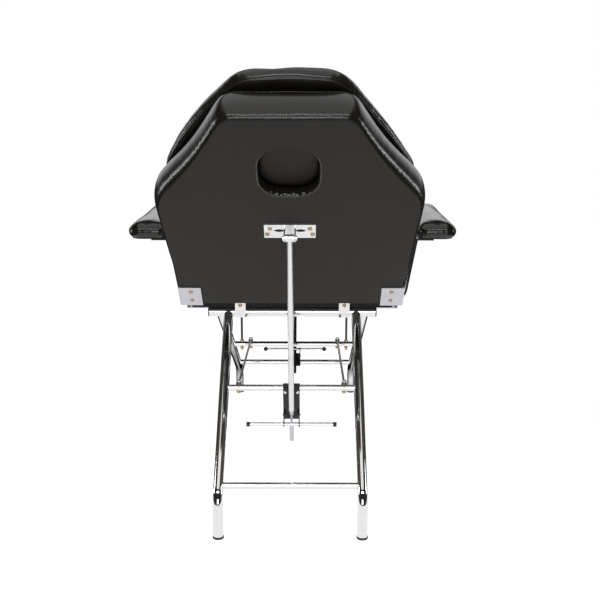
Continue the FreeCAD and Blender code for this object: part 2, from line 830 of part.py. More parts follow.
# Bracket for the strut on the back of the board
bracket_half = 58.0
bracket_length = 44.0
bracket_lead = 14.0
bracket_ear_gap = 21.0
pin_radius = 4.0
pin_head = 3.0
bracket_wall = 3.0
bracket_ear_r = 9.0
pin_head_r = 6.0
bracket_screw_shares = ((0.88, -0.23), (0.775, 0.205))


def strut_bracket(along, depth, face, gap, half, length, lead):
    """A plate on a board's face, with two ears that hold the strut's pin."""
    plate = box(-half, half, along - length + lead, along + lead, face - bracket_wall, face)
    ears = []
    for x0 in (gap / 2, -gap / 2 - bracket_wall):
        x1 = x0 + bracket_wall
        ears.append(cross_bar(x0, x1, along, -depth, bracket_ear_r))
        ears.append(box(x0, x1, along - bracket_ear_r, along + bracket_ear_r, -depth, face))
    return fused([plate] + ears)


lens_length = 25.0
lens_width = 9.0
lens_middle = 24.0
lens_lead = 3.0
back_bracket = strut_bracket(
    back_pin_along, back_pin_depth, panel_back, bracket_ear_gap, bracket_half, bracket_length, bracket_lead
)
plate_middle = back_pin_along + bracket_lead - bracket_length / 2
for side in (-1, 1):
    middle = V(side * lens_middle, plate_middle + lens_lead, panel_back)
    window = lens(lens_length, lens_width, 2 * bracket_wall, middle, V(1, 0, 0), V(0, 1, 0))
    back_bracket = back_bracket.cut(window)
ear_reach = bracket_ear_gap / 2 + bracket_wall
pin_shaft = cross_bar(-ear_reach, ear_reach, back_pin_along, -back_pin_depth, pin_radius)
pin_heads = [
    cross_bar(x, x + pin_head, back_pin_along, -back_pin_depth, pin_head_r)
    for x in (ear_reach, -ear_reach - pin_head)
]
back_bracket = back_bracket.cut(pin_shaft)
bracket_seats = [
    (V(side * bracket_half * across, plate_middle + along * bracket_length, panel_back - bracket_wall), up)
    for side in (-1, 1) for across, along in bracket_screw_shares
]
back_seats = back_plate_seats + bracket_seats
back_board = drilled(back_board, back_seats)
back_cover = drilled(back_cover, back_seats)

parts["back_board"] = on_back(back_board.cut(lined_hole))
parts["hole_lining"] = on_back(lined_hole.cut(face_hole))
parts["back_cover"] = on_back(back_cover.cut(face_hole))
parts["back_foam"] = on_back(back_foam.cut(face_hole))
parts["back_pillow"] = on_back(back_pillow.cut(face_hole))
parts["face_plug"] = on_back(plug)
parts["back_hinge_plates"] = on_back(group([drilled(p, back_plate_seats) for p in back_plates]))
parts["back_strut_bracket"] = on_back(drilled(back_bracket, bracket_seats))
parts["back_bracket_pin"] = on_back(fused([pin_shaft] + pin_heads))
parts["back_screws"] = on_back(screws(back_seats))

# Bracket for the strut under the leg rest, drawn about the leg pivot
leg_bracket_half = 40.0
leg_bracket_length = 36.0
leg_bracket_gap = 16.0
leg_bracket_screw_share = 0.75
leg_bracket = strut_bracket(
    -leg_pin_along, leg_pin_depth, knuckle_r, leg_bracket_gap, leg_bracket_half, leg_bracket_length,
    leg_bracket_length / 2,
)
bore_r = pin_radius + running_clearance / 2
leg_bracket = leg_bracket.cut(
    cross_bar(-leg_bracket_half, leg_bracket_half, -leg_pin_along, -leg_pin_depth, bore_r)
)
leg_bracket.translate(leg_pivot)
for side in (-1, 1):
    x = side * leg_bracket_half * leg_bracket_screw_share
    seat = V(x, leg_pivot.y - leg_pin_along, board_bottom - bracket_wall)
    leg_seats.append((seat, up))

parts["seat_screws"] = screws(seat_seats)
parts["leg_rest_screws"] = screws(leg_seats)
parts["seat_board"] = drilled(seat_board, seat_seats)
parts["seat_foam"] = seat_foam
parts["seat_pillow"] = seat_pillow
parts["hinge_bolts"] = group(hinge_bolts)
parts["leg_hinge_pins"] = group(hinge_pins)
for name, pieces in (
    ("ridge_straps", straps), ("seat_hinge_plates", seat_plates),
    ("leg_hinge_seat_leaves", seat_leaves), ("arm_sockets", sockets),
):
    parts[name] = group([drilled(piece, seat_seats) for piece in pieces])
parts["seat_posts"] = group([drilled(post, seat_seats) for post in posts])
parts["leg_hinge_leaves"] = group([drilled(leaf, leg_seats) for leaf in leg_leaves])
parts["leg_board"] = drilled(leg_board, leg_seats)
parts["leg_foam"] = leg_foam
parts["leg_pillow"] = leg_pillow
parts["leg_strut_bracket"] = drilled(leg_bracket, leg_seats)

# Struts, drawn in their clutch's frame: X across, Y away from the stretcher,
# Z along the strut towards its pin


strut_eye_share = 0.65
nose_length = 6.0
slant = 24.0


def strut_with_eye(strut_dia, offset, span, eye_width, low):
    """A tube from below its clutch up to an eye that turns on the bracket's pin."""
    r = strut_dia / 2
    eye_r = strut_dia * strut_eye_share
    bottom, top = V(0, offset, -low), V(0, offset, span)
    eye = cross_bar(-eye_width / 2, eye_width / 2, offset, span, eye_r)
    bore = cross_bar(-eye_width, eye_width, offset, span, pin_radius + running_clearance / 2)
    tube = fused([bar(bottom, top, r), eye]).cut(bore)
    return tube.cut(bar(bottom, top - up * (2 * eye_r), r - tube_wall))


def stem_with_nose(strut_dia, offset, stem_dia, tube_end, reach):
    """A thin stem, plugged into the end of the strut's tube behind a rounded nose."""
    r = strut_dia / 2
    end = V(0, offset, -tube_end)
    nose = Part.makeCone(r, stem_dia / 2, nose_length, end, up * -1)
    plug = bar(end, end + up * cap_depth, r - tube_wall - running_clearance)
    return fused([nose, plug, bar(V(0, offset, -reach), end, stem_dia / 2)])


def grip_sleeve(offset, dia, stem_dia, top, grip, bottom):
    """A sleeve on the end of the stem, its lower end cut on the slant."""
    body = bar(V(0, offset, -bottom), V(0, offset, -top), dia / 2)
    body = body.cut(bar(V(0, offset, -top - grip), V(0, offset, -top), stem_dia / 2))
    knife = box(-dia, dia, -dia, 2 * dia, -2 * dia, 0)
    return body.cut(swung(knife, slant, V(0, offset, -bottom + dia / 2)))


guide_lip = 2.4
guide_wrap = 1.2
rocker_wall = 3.0
rocker_r = 5.0
stub_r = 2.5
stub_length = 8.0


def clutch(offset, strut_dia, plate_up, plate_down, guide_up, guide_down, plate_half):
    """A plate that swings on a stretcher, and an open-fronted guide for the strut."""
    inner = stretcher_r + seat_clearance
    outer = inner + ring_wall
    ring = cross_bar(-plate_half, plate_half, 0, 0, outer)
    plate = box(-plate_half, plate_half, outer - plate_wall / 3, outer + plate_wall, -plate_down, plate_up)
    body = fused([ring, plate]).cut(cross_bar(-plate_half, plate_half, 0, 0, inner))
    face = outer + plate_wall
    r = strut_dia / 2 + guide_clearance
    block = box(-r - guide_lip, r + guide_lip, face, offset + guide_wrap, -guide_down, guide_up)
    channel = bar(V(0, offset, -guide_down), V(0, offset, guide_up), r)
    return body, block.cut(channel), face


def release(offset, strut_dia, face, pivot_w, bar_w, bar_dia, bar_length, arm_x, cap):
    """A sprung cross bar on two rocker arms beside the strut, with end caps."""
    bar_r = bar_dia / 2
    bar_y = offset + strut_dia / 2 + bar_r + guide_clearance
    half = bar_length / 2 - cap["length"]
    rod = cross_bar(-half, half, bar_y, bar_w, bar_r)
    arms = []
    for side in (-1, 1):
        x0 = arm_x if side > 0 else -arm_x - rocker_wall
        pad = cross_bar(x0, x0 + rocker_wall, rocker_y(face), pivot_w, rocker_r)
        tip = cross_bar(x0, x0 + rocker_wall, bar_y, bar_w, bar_r + rocker_wall / 2)
        y0, y1 = rocker_y(face), bar_y
        outline = [
            V(x0, y0 - rocker_r, pivot_w), V(x0, y0 + rocker_r, pivot_w),
            V(x0, y1 + bar_r, bar_w), V(x0, y1 - bar_r, bar_w), V(x0, y0 - rocker_r, pivot_w),
        ]
        blade = Part.Face(Part.makePolygon(outline)).extrude(V(rocker_wall, 0, 0))
        low, high = x0 - overrun, x0 + overrun * 2
        piece = fused([pad, tip, blade]).cut(cross_bar(low, high, bar_y, bar_w, bar_r))
        piece = piece.cut(cross_bar(low, high, y0, pivot_w, stub_r + running_clearance / 2))
        arms.append(piece)
    caps = []
    for side in (-1, 1):
        end = V(side * half, bar_y, bar_w)
        caps.append(cap["make"](end, side, cap))
    return rod, group(arms), group(caps)


def cylinder_cap(end, side, cap):
    return bar(end, end + V(side * cap["length"], 0, 0), cap["dia"] / 2)


def ball_cap(end, side, cap):
    r = cap["dia"] / 2
    ball = Part.makeSphere(r, end + V(side * r, 0, 0))
    return ball.cut(bar(end - V(side * r, 0, 0), end, r))


def rocker_y(face):
    """How far from the clutch's axis the rocker turns."""
    return face + rocker_r + running_clearance + bracket_wall


def lugs_with_stubs(face, half, pivot_w):
    """Two lugs on a clutch's plate, each with a stub that a rocker arm turns on."""
    y = rocker_y(face)
    x = half - rocker_wall - bracket_wall - running_clearance
    pieces = []
    for side in (-1, 1):
        x0 = x if side > 0 else -x - bracket_wall
        s0 = x if side > 0 else -x - stub_length
        low, high = pivot_w - rocker_r, pivot_w + rocker_r
        pieces.append(box(x0, x0 + bracket_wall, face - plate_wall / 2, y, low, high))
        pieces.append(cross_bar(x0, x0 + bracket_wall, y, pivot_w, rocker_r))
        pieces.append(cross_bar(s0, s0 + stub_length, y, pivot_w, stub_r))
    return pieces, x + bracket_wall + running_clearance


def add_clutch(name, place, tilt, offset, strut_dia, spec):
    body, guide, face = clutch(
        offset, strut_dia, spec["plate_up"], spec["plate_down"], spec["guide_up"],
        spec["guide_down"], spec["half_width"],
    )
    lugs, arm_x = lugs_with_stubs(face, spec["half_width"], spec["pivot"])
    body = fused([body] + lugs)
    for cutter in spec["cutters"](face):
        body = body.cut(cutter)
    if spec["bolts"]:
        seats = [(V(side * bolt_x, face, bolt_w), V(0, -1, 0)) for side in (-1, 1)]
        bolts = []
        for seat, axis in seats:
            shank = bar(seat, seat + axis * bolt_length, tie_bolt_r)
            body = body.cut(shank)
            top_r = bolt_head_r * head_taper_share
            head = Part.makeCone(bolt_head_r, top_r, tie_bolt_r, seat, axis * -1)
            bolts.append(head.fuse(shank).removeSplitter())
        parts[name + "_clutch_bolts"] = swung(group(bolts), tilt, place)
        parts[name + "_clutch_guide"] = swung(guide, tilt, place)
    else:
        body = fused([body, guide])
    rod, arms, caps = release(
        offset, strut_dia, face, spec["pivot"], spec["bar"], spec["bar_dia"], spec["bar_length"],
        arm_x, spec["cap"],
    )
    parts[name + "_clutch_plate"] = swung(body, tilt, place)
    parts[name + "_release_bar"] = swung(rod, tilt, place)
    parts[name + "_release_arms"] = swung(arms, tilt, place)
    parts[name + "_release_caps"] = swung(caps, tilt, place)


bolt_head_r = 4.5
bolt_x = 15.4
bolt_w = -2.0
bolt_length = 5.5
slot_r = 3.0
slot_w = 12.5
groove_length = 27.0
groove_width = 9.0
groove_w = -74.5


def back_cutters(face):
    """Two round holes above the stretcher and a leaf-shaped slot behind the stem."""
    holes = []
    for side in (-1, 1):
        start = V(side * bolt_x, face - 2 * plate_wall, slot_w)
        holes.append(bar(start, start + V(0, plate_wall * 3, 0), slot_r))
    middle = V(0, face, groove_w)
    return holes + [lens(groove_length, groove_width, 2 * plate_wall, middle, up, V(1, 0, 0))]


def no_cutters(face):
    return []


back_spec = {
    "plate_up": 18.0, "plate_down": 92.0, "guide_up": 14.0, "guide_down": 52.0, "half_width": 21.0,
    "pivot": -70.0, "bar": -91.0, "bar_dia": 10.0, "bar_length": 230.0,
    "cutters": back_cutters, "bolts": True,
    "cap": {"length": 9.0, "dia": 12.0, "make": cylinder_cap},
}
leg_spec = {
    "plate_up": 26.0, "plate_down": 20.0, "guide_up": 22.0, "guide_down": 16.0, "half_width": 18.0,
    "pivot": 12.0, "bar": 33.0, "bar_dia": 8.0, "bar_length": 205.0,
    "cutters": no_cutters, "bolts": False,
    "cap": {"length": 12.0, "dia": 14.0, "make": ball_cap},
}
add_clutch("back", back_clutch_axis, back_tilt, back_offset, back_strut_dia, back_spec)
add_clutch("leg", leg_clutch_axis, leg_tilt, leg_offset, leg_strut_dia, leg_spec)

tube_end = 56.0
stem_dia = 6.0
sleeve_dia = 12.0
sleeve_top = 102.0
sleeve_grip = 12.0
back_eye = bracket_ear_gap - 2 * soft_clearance
back_tube = strut_with_eye(back_strut_dia, back_offset, back_span, back_eye, tube_end)
stem = stem_with_nose(back_strut_dia, back_offset, stem_dia, tube_end, sleeve_top + sleeve_grip)
sleeve = grip_sleeve(back_offset, sleeve_dia, stem_dia, sleeve_top, sleeve_grip, back_strut_stub)
for piece, shape in (("tube", back_tube), ("stem", stem), ("sleeve", sleeve)):
    parts["back_strut_" + piece] = swung(shape, back_tilt, back_clutch_axis)

leg_trunnion = leg_bracket_gap / 2 + bracket_wall + pin_head
leg_strut = fused([
    bar(V(0, leg_offset, -leg_strut_stub), V(0, leg_offset, leg_span), leg_strut_dia / 2),
    cross_bar(-leg_trunnion, leg_trunnion, leg_offset, leg_span, pin_radius),
])
parts["leg_strut"] = swung(leg_strut, leg_tilt, leg_clutch_axis)

# The origin lies on the floor under the middle of the whole chair
rear_end = (back_pivot + turned(hinge_gap + back_length, panel_back, recline_rest)).y
centre_y = (rear_end + leg_far - side_bulge) / 2
origin_shift = V(0, -centre_y, 0)

if __name__ == "__main__":
    os.makedirs("parts", exist_ok=True)
    for name in sorted(parts):
        shape = parts[name].copy()
        shape.translate(origin_shift)
        shape.exportStep(os.path.join("parts", name + ".step"))
        print(name, "solids", len(shape.Solids), "valid", shape.isValid(), "volume", round(shape.Volume))
    for name, point in (
        ("back_pivot", back_pivot), ("leg_pivot", leg_pivot), ("back_pin", back_pin),
        ("leg_pin", leg_pin), ("back_clutch_axis", back_clutch_axis),
        ("leg_clutch_axis", leg_clutch_axis),
    ):
        print(name, [round(c, 2) for c in point + origin_shift])
    print("tilts", back_tilt, leg_tilt, "spans", back_span, leg_span, "shift", origin_shift)
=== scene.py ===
import bpy
import bmesh
import json
import math
import numpy as np
from mathutils import Matrix, Vector, kdtree
from mathutils.bvhtree import BVHTree


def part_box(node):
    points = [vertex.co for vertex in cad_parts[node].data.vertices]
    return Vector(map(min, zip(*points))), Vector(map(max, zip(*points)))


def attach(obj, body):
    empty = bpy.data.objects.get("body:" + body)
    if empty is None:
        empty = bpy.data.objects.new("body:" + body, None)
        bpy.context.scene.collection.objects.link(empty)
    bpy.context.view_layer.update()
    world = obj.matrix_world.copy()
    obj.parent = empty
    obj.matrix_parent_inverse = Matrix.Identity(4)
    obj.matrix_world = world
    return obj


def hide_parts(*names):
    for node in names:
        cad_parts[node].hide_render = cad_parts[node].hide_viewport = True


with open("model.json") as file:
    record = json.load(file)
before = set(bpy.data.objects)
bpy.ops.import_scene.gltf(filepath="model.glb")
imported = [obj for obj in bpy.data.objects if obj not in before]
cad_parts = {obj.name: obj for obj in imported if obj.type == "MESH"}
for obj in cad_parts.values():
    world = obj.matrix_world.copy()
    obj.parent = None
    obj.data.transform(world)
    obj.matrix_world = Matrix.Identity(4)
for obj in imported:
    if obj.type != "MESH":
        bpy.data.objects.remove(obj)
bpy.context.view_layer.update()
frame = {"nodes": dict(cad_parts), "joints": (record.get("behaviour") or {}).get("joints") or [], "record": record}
nodes = frame["nodes"]
scene = bpy.context.scene
print("frame loaded,", len(nodes), "nodes")


# Camera, light and floor

cameraSetup = {
    "place": (-0.036, 2.5934, 1.045),
    "tilt": 76.444,
    "turn": 180.382,
    "lens": 54.0,
    "sensor": 36.0,
}
white = (1.0, 1.0, 1.0, 1.0)
studioSetup = {
    "floorSides": (-0.95, 0.95, -2.8, 2.3),
    "floorTone": (0.55, 0.55, 0.56, 1.0),
    "floorGlow": 0.96,
    "shineTone": (1.0, 0.985, 0.97, 1.0),  # the floor as the object reflects it, which fades out in front
    "shine": 0.97,
    "shineEnd": -0.45,
    "shineFade": 5.0,
    "backdropEdge": (0.50, 0.80),  # how squarely a ray must run forwards to meet the white backdrop
    "backdropTop": (0.30, 0.55),
    "horizonFade": 12.0,
    "roomTone": (0.028, 0.026, 0.024, 1.0),
    "warmTone": (0.16, 0.125, 0.055, 1.0),
    "warmHeight": 0.6,
    "warmFade": 5.0,
}
studioLights = {
    "overhead": {"place": (0.0, 0.6, 2.6), "aim": (0.0, 0.6, 0.9), "size": (2.4, 3.0), "power": 20.0},
    "back_light": {"place": (0.0, 3.6, 0.75), "aim": (0.0, 0.4, 0.9), "size": (1.7, 1.0), "power": 24.0},
    "strip_light": {"place": (0.0, 2.6, 2.3), "aim": (0.0, 0.45, 1.05), "size": (2.4, 0.35), "power": 17.0},
}
for sideName, side in (("left", 1), ("right", -1)):
    studioLights[sideName + "_light"] = {
        "place": (side * 2.2, 0.35, 0.75), "aim": (0.0, 0.1, 0.5), "size": (0.35, 0.8), "power": 7.0,
    }
    studioLights[sideName + "_leg_glint"] = {
        "place": (0.0, 0.3, 0.62), "aim": (side * 0.2, 0.3, 0.46), "size": (0.04, 0.22), "power": 0.05,
    }


def makeCamera(setup):
    data = bpy.data.cameras.new("camera")
    data.lens = setup["lens"]
    data.sensor_width = setup["sensor"]
    data.clip_end = 60.0
    camera = bpy.data.objects.new("camera", data)
    camera.location = setup["place"]
    camera.rotation_euler = (math.radians(setup["tilt"]), 0.0, math.radians(setup["turn"]))
    scene.collection.objects.link(camera)
    scene.camera = camera


def makeLight(name, setup):
    data = bpy.data.lights.new(name, "AREA")
    data.shape = "RECTANGLE"
    data.size, data.size_y = setup["size"]
    data.energy = setup["power"]
    light = bpy.data.objects.new(name, data)
    light.location = setup["place"]
    light.visible_camera = False
    light.rotation_euler = (Vector(setup["aim"]) - Vector(setup["place"])).to_track_quat("-Z", "Y").to_euler()
    scene.collection.objects.link(light)


# Finishes

class Value:
    def __init__(self, finish, socket):
        self.finish = finish
        self.socket = socket

    def maths(self, operation, *values):
        return self.finish.add("ShaderNodeMath", {"operation": operation}, dict(enumerate(values)))

    def __add__(self, other):
        return self.maths("ADD", self, other)

    def __radd__(self, other):
        return self.maths("ADD", other, self)

    def __sub__(self, other):
        return self.maths("SUBTRACT", self, other)

    def __rsub__(self, other):
        return self.maths("SUBTRACT", other, self)

    def __mul__(self, other):
        return self.maths("MULTIPLY", self, other)

    def __rmul__(self, other):
        return self.maths("MULTIPLY", other, self)

    def __truediv__(self, other):
        return self.maths("DIVIDE", self, other)

    def sine(self):
        return self.maths("SINE", self)

    def absolute(self):
        return self.maths("ABSOLUTE", self)

    def fade(self, length):
        return self.maths("EXPONENT", self / -length)

    def clamped(self):
        return self.maths("MINIMUM", self.maths("MAXIMUM", self, 0.0), 1.0)


class Finish:
    def __init__(self, tree):
        self.tree = tree
        self.tree.nodes.clear()
        self.place = None

    def add(self, kind, settings=None, values=None, output=0):
        node = self.tree.nodes.new(kind)
        for key, value in (settings or {}).items():
            if key == "stops":
                for stop, (position, colour) in zip(node.color_ramp.elements, value):
                    stop.position, stop.color = position, colour
            else:
                setattr(node, key, value)
        for key, value in (values or {}).items():
            if isinstance(value, Value):
                self.tree.links.new(value.socket, node.inputs[key])
            else:
                node.inputs[key].default_value = value
        return Value(self, node.outputs[output])

    def noise(self, scale, detail=2.0, distortion=0.0):
        values = {"Vector": self.place, "Scale": scale, "Detail": detail, "Distortion": distortion}
        return self.add("ShaderNodeTexNoise", {}, values)

    def cells(self, scale):
        return self.add("ShaderNodeTexVoronoi", {"feature": "DISTANCE_TO_EDGE"},
                        {"Vector": self.place, "Scale": scale}, "Distance")

    def stretched(self, factors):
        return self.add("ShaderNodeMapping", {}, {"Vector": self.place, "Scale": factors})

    def attribute(self, name):
        return self.add("ShaderNodeAttribute", {"attribute_name": name}, output="Fac")

    def blended(self, factor, first, second):
        return self.add("ShaderNodeMix", {"data_type": "RGBA"}, {0: factor, 6: first, 7: second}, 2)

    def bump(self, height, distance, strength=1.0, normal=None):
        values = {"Height": height, "Distance": distance, "Strength": strength}
        if normal is not None:
            values["Normal"] = normal
        return self.add("ShaderNodeBump", {}, values)

    def finishWith(self, shader, kind="ShaderNodeOutputMaterial"):
        end = self.tree.nodes.new(kind)
        self.tree.links.new(shader.socket, end.inputs["Surface"])

    def close(self, values):
        self.finishWith(self.add("ShaderNodeBsdfPrincipled", {}, values))


def newFinish(name):
    material = bpy.data.materials.new(name)
    material.use_nodes = True
    f = Finish(material.node_tree)
    f.place = f.add("ShaderNodeTexCoord", output="Object")
    return material, f


def colour(red, green, blue):
    return (red, green, blue, 1.0)


def makeSky(setup):
    # the camera sees plain white; the object reflects a backdrop in front, warm walls beside it and a dim room
    world = bpy.data.worlds.new("studio")
    scene.world = world
    world.use_nodes = True
    f = Finish(world.node_tree)
    place = f.add("ShaderNodeTexCoord", output="Generated")
    y, z = [f.add("ShaderNodeSeparateXYZ", {}, {0: place}, axis) for axis in "YZ"]
    near, full = setup["backdropEdge"]
    start, end = setup["backdropTop"]
    facing = ((0 - y - near) / (full - near)).clamped()
    upright = ((end - z) / (end - start)).clamped() * (z * setup["horizonFade"]).clamped()
    height = 1 - (z - setup["warmHeight"]).absolute() * setup["warmFade"]
    across = 1 - y.absolute() * setup["warmFade"]
    room = f.blended(height.clamped() * across.clamped(), setup["roomTone"], setup["warmTone"])
    seen = f.add("ShaderNodeBackground", {}, {"Color": white})
    lit = f.add("ShaderNodeBackground", {}, {"Color": f.blended(facing * upright, room, white)})
    direct = f.add("ShaderNodeLightPath", output="Is Camera Ray")
    mix = f.add("ShaderNodeMixShader", {}, {0: direct, 1: lit, 2: seen})
    f.finishWith(mix, "ShaderNodeOutputWorld")


makeCamera(cameraSetup)
makeSky(studioSetup)
scene.view_settings.view_transform = "Standard"
for name, setup in studioLights.items():
    makeLight(name, setup)
print("camera and light made")


def vinylFinish(name, look):
    material, f = newFinish(name)
    clouds = f.noise(7.0, 3.0)
    fine = f.noise(look["wrinkle"], 4.0, 0.8)
    grain = f.cells(look["grain"])
    dust = (f.noise(38.0, 5.0) - 0.45).clamped() * 1.6
    tone = f.blended(clouds, colour(*look["dark"]), colour(*look["light"]))
    tone = f.blended(dust * look["dust"], tone, colour(*look["dusty"]))
    rough = look["rough"] + (clouds - 0.5) * look["roughShift"] + (fine - 0.5) * look["roughShift"]
    height = fine * look["wrinkleHeight"]
    if look["seams"]:
        near = f.attribute("seamDistance").fade(look["gatherReach"])
        along = f.attribute("seamAlong") * (2 * math.pi / look["gatherStep"])
        gathers = (along + f.noise(26.0, 2.0) * 9.0).sine() * near * f.noise(17.0, 1.0)
        height = height + gathers * look["gatherHeight"]
        rough = rough + near * 0.05
    soft = f.bump(height, 0.001)
    normal = f.bump(grain.clamped(), look["grainDepth"], 0.6, soft)
    f.close({"Base Color": tone, "Roughness": rough.clamped(), "Normal": normal, "IOR": 1.5,
             "Specular IOR Level": look["shine"], "Coat Roughness": look["coatRough"], "Coat Weight": look["coat"]})
    return material


def chromeFinish(name, look):
    material, f = newFinish(name)
    smear = f.noise(16.0, 4.0, 1.0)
    scratches = f.add("ShaderNodeTexNoise", {},
                      {"Vector": f.stretched((1.0, 22.0, 22.0)), "Scale": 60.0, "Detail": 2.0})
    rough = look["rough"] + (smear - 0.45).clamped() * look["smear"] + (scratches - 0.5) * look["brush"]
    tone = f.blended(smear, colour(*look["dark"]), colour(*look["light"]))
    normal = f.bump(scratches, look["depth"], 0.4)
    f.close({"Base Color": tone, "Metallic": 1.0, "Roughness": rough.clamped(), "Normal": normal})
    return material


def paintFinish(name, look):
    material, f = newFinish(name)
    orange = f.noise(look["peel"], 2.0)
    wear = (f.noise(24.0, 6.0, 0.6) - 0.60).clamped() * look["wear"]
    tone = f.blended(wear.clamped(), colour(*look["base"]), colour(*look["worn"]))
    rough = look["rough"] + (f.noise(31.0, 3.0) - 0.5) * 0.16
    normal = f.bump(orange, look["depth"], 0.5)
    f.close({"Base Color": tone, "Roughness": rough.clamped(), "Normal": normal, "Metallic": look["metal"]})
    return material


def clothFinish(name, look):
    material, f = newFinish(name)
    warp, weft = [
        f.add("ShaderNodeTexWave", {"wave_profile": "SIN", "bands_direction": "DIAGONAL"},
              {"Vector": f.stretched(factors), "Scale": look["weave"], "Distortion": 0.4}, "Fac")
        for factors in ((1.0, 0.0, 0.3), (0.0, 1.0, 0.3))
    ]
    weave = warp * weft
    tone = f.blended(weave, colour(*look["dark"]), colour(*look["light"]))
    tone = f.blended((f.noise(12.0, 4.0) - 0.4).clamped() * 0.5, tone, colour(*look["dusty"]))
    rough = look["rough"] + (weave - 0.5) * 0.1
    normal = f.bump(weave, look["depth"], 0.7)
    f.close({"Base Color": tone, "Roughness": rough.clamped(), "Normal": normal})
    return material


vinylLook = {
    "dark": (0.0090, 0.0074, 0.0054), "light": (0.0140, 0.0118, 0.0088), "dusty": (0.04, 0.038, 0.034),
    "dust": 0.12, "rough": 0.25, "roughShift": 0.08, "wrinkle": 30.0, "wrinkleHeight": 0.20,
    "grain": 780.0, "grainDepth": 0.00005, "shine": 0.5, "coat": 0.15, "coatRough": 0.12, "seams": True,
    "gatherReach": 0.014, "gatherStep": 0.017, "gatherHeight": 0.30,
}
weltLook = dict(vinylLook, seams=False, rough=0.3, wrinkle=160.0, wrinkleHeight=0.1)
liningLook = dict(weltLook, rough=0.17, coat=0.35, wrinkle=70.0)
armLook = dict(vinylLook, rough=0.2, wrinkleHeight=0.1, gatherHeight=0.15)
panelLook = dict(
    vinylLook, seams=False, dark=(0.0135, 0.0112, 0.0092), light=(0.0165, 0.0138, 0.0116), dust=0.05, rough=0.52,
    roughShift=0.05, wrinkle=22.0, wrinkleHeight=0.06, grain=1300.0, grainDepth=0.00004, shine=0.3, coat=0.0,
)
chromeLook = {"rough": 0.045, "smear": 0.10, "brush": 0.02, "dark": (0.80, 0.80, 0.81),
              "light": (0.90, 0.90, 0.91), "depth": 0.00001}
plateLook = {"rough": 0.34, "smear": 0.20, "brush": 0.10, "dark": (0.54, 0.54, 0.60),
             "light": (0.66, 0.66, 0.71), "depth": 0.00003}
zincLook = {"rough": 0.30, "smear": 0.20, "brush": 0.10, "dark": (0.80, 0.80, 0.82),
            "light": (0.94, 0.94, 0.95), "depth": 0.00003}
smokedLook = {"rough": 0.22, "smear": 0.20, "brush": 0.05, "dark": (0.10, 0.09, 0.08),
              "light": (0.20, 0.18, 0.17), "depth": 0.00003}
goldZincLook = {"rough": 0.30, "smear": 0.15, "brush": 0.05, "dark": (0.42, 0.31, 0.17),
                "light": (0.68, 0.54, 0.33), "depth": 0.00002}
blackSteelLook = {"peel": 420.0, "wear": 0.5, "base": (0.012, 0.012, 0.012), "worn": (0.07, 0.068, 0.065),
                  "rough": 0.36, "depth": 0.00006, "metal": 0.0}
plasticLook = {"peel": 900.0, "wear": 0.35, "base": (0.016, 0.016, 0.017), "worn": (0.05, 0.05, 0.05),
               "rough": 0.44, "depth": 0.00004, "metal": 0.0}
clothLook = {"dark": (0.008, 0.008, 0.008), "light": (0.024, 0.023, 0.022), "dusty": (0.045, 0.043, 0.04),
             "weave": 170.0, "rough": 0.85, "depth": 0.00025}

glossVinyl = vinylFinish("gloss_vinyl_sewn", vinylLook)
weltVinyl = vinylFinish("gloss_vinyl_welt", weltLook)
liningVinyl = vinylFinish("gloss_vinyl_lining", liningLook)
armVinyl = vinylFinish("gloss_vinyl_arm", armLook)
panelVinyl = vinylFinish("matte_vinyl_panel", panelLook)
chrome = chromeFinish("polished_chrome", chromeLook)
zinc = chromeFinish("bright_zinc", zincLook)
plateZinc = chromeFinish("dull_zinc", plateLook)
smokedSteel = chromeFinish("smoked_steel", smokedLook)
goldZinc = chromeFinish("yellow_zinc", goldZincLook)
blackSteel = paintFinish("black_enamel", blackSteelLook)
blackPlastic = paintFinish("black_moulded", plasticLook)
dustCloth = clothFinish("black_dust_cloth", clothLook)
print("finishes made")

nodeFinishes = {
    "chrome_tube": chrome, "zinc_steel": zinc, "black_steel": blackSteel, "black_plastic": blackPlastic,
    "covered_board": dustCloth, "matte_vinyl": panelVinyl, "gloss_vinyl": glossVinyl,
}
ownFinishes = {
    "back_hinge_plates": plateZinc, "seat_hinge_plates": plateZinc, "back_strut_sleeve": plateZinc,
    "back_strut_stem": plateZinc, "frame_nuts": goldZinc, "tie_rods": smokedSteel, "seat_posts": smokedSteel,
}
for subpart in frame["record"]["subparts"]:
    for slot in nodes[subpart["node"]].material_slots:
        slot.material = ownFinishes.get(subpart["node"], nodeFinishes[subpart["material_slot"]])


# Sizes of the upholstery, taken from the joints and boxes of the frame

joints = {joint["name"]: joint for joint in frame["joints"]}
backPivot = Vector(joints["recline"]["pos_m"])
legPivot = Vector(joints["leg_rest_drop"]["pos_m"])
upholstery = {
    "recline": 50.0,
    "sectionHalf": 0.268, "shoulderHalf": 0.290, "waistHalf": 0.202, "headHalf": 0.131,
    "shoulderReach": 0.378, "waistReach": 0.490, "backLength": 0.604,
    "hingeGap": 0.008, "lowerGap": 0.006, "legLength": 0.556,
    "foam": 0.092, "pillow": 0.040, "board": 0.018, "cover": 0.002,
    "cornerRadius": 0.014, "shoulderRadius": 0.090, "waistRadius": 0.8,
    "foamHeadRadius": 0.032, "pillowHeadRadius": 0.084, "farRadius": 0.060, "headLead": 0.010,
    "holeHalfWidth": 0.069, "holeHalfLength": 0.0735, "holeAlong": 0.465, "holeRadius": 0.056,
    "holeRecess": 0.030,
}
up = upholstery
backFrame = Matrix.Translation(backPivot) @ Matrix.Rotation(math.radians(up["recline"]), 4, "X")
flatFrame = Matrix.Translation((0.0, 0.0, backPivot.z))


def mirroredRound(half):
    return list(half) + [(-x, y) for x, y in reversed(half)]


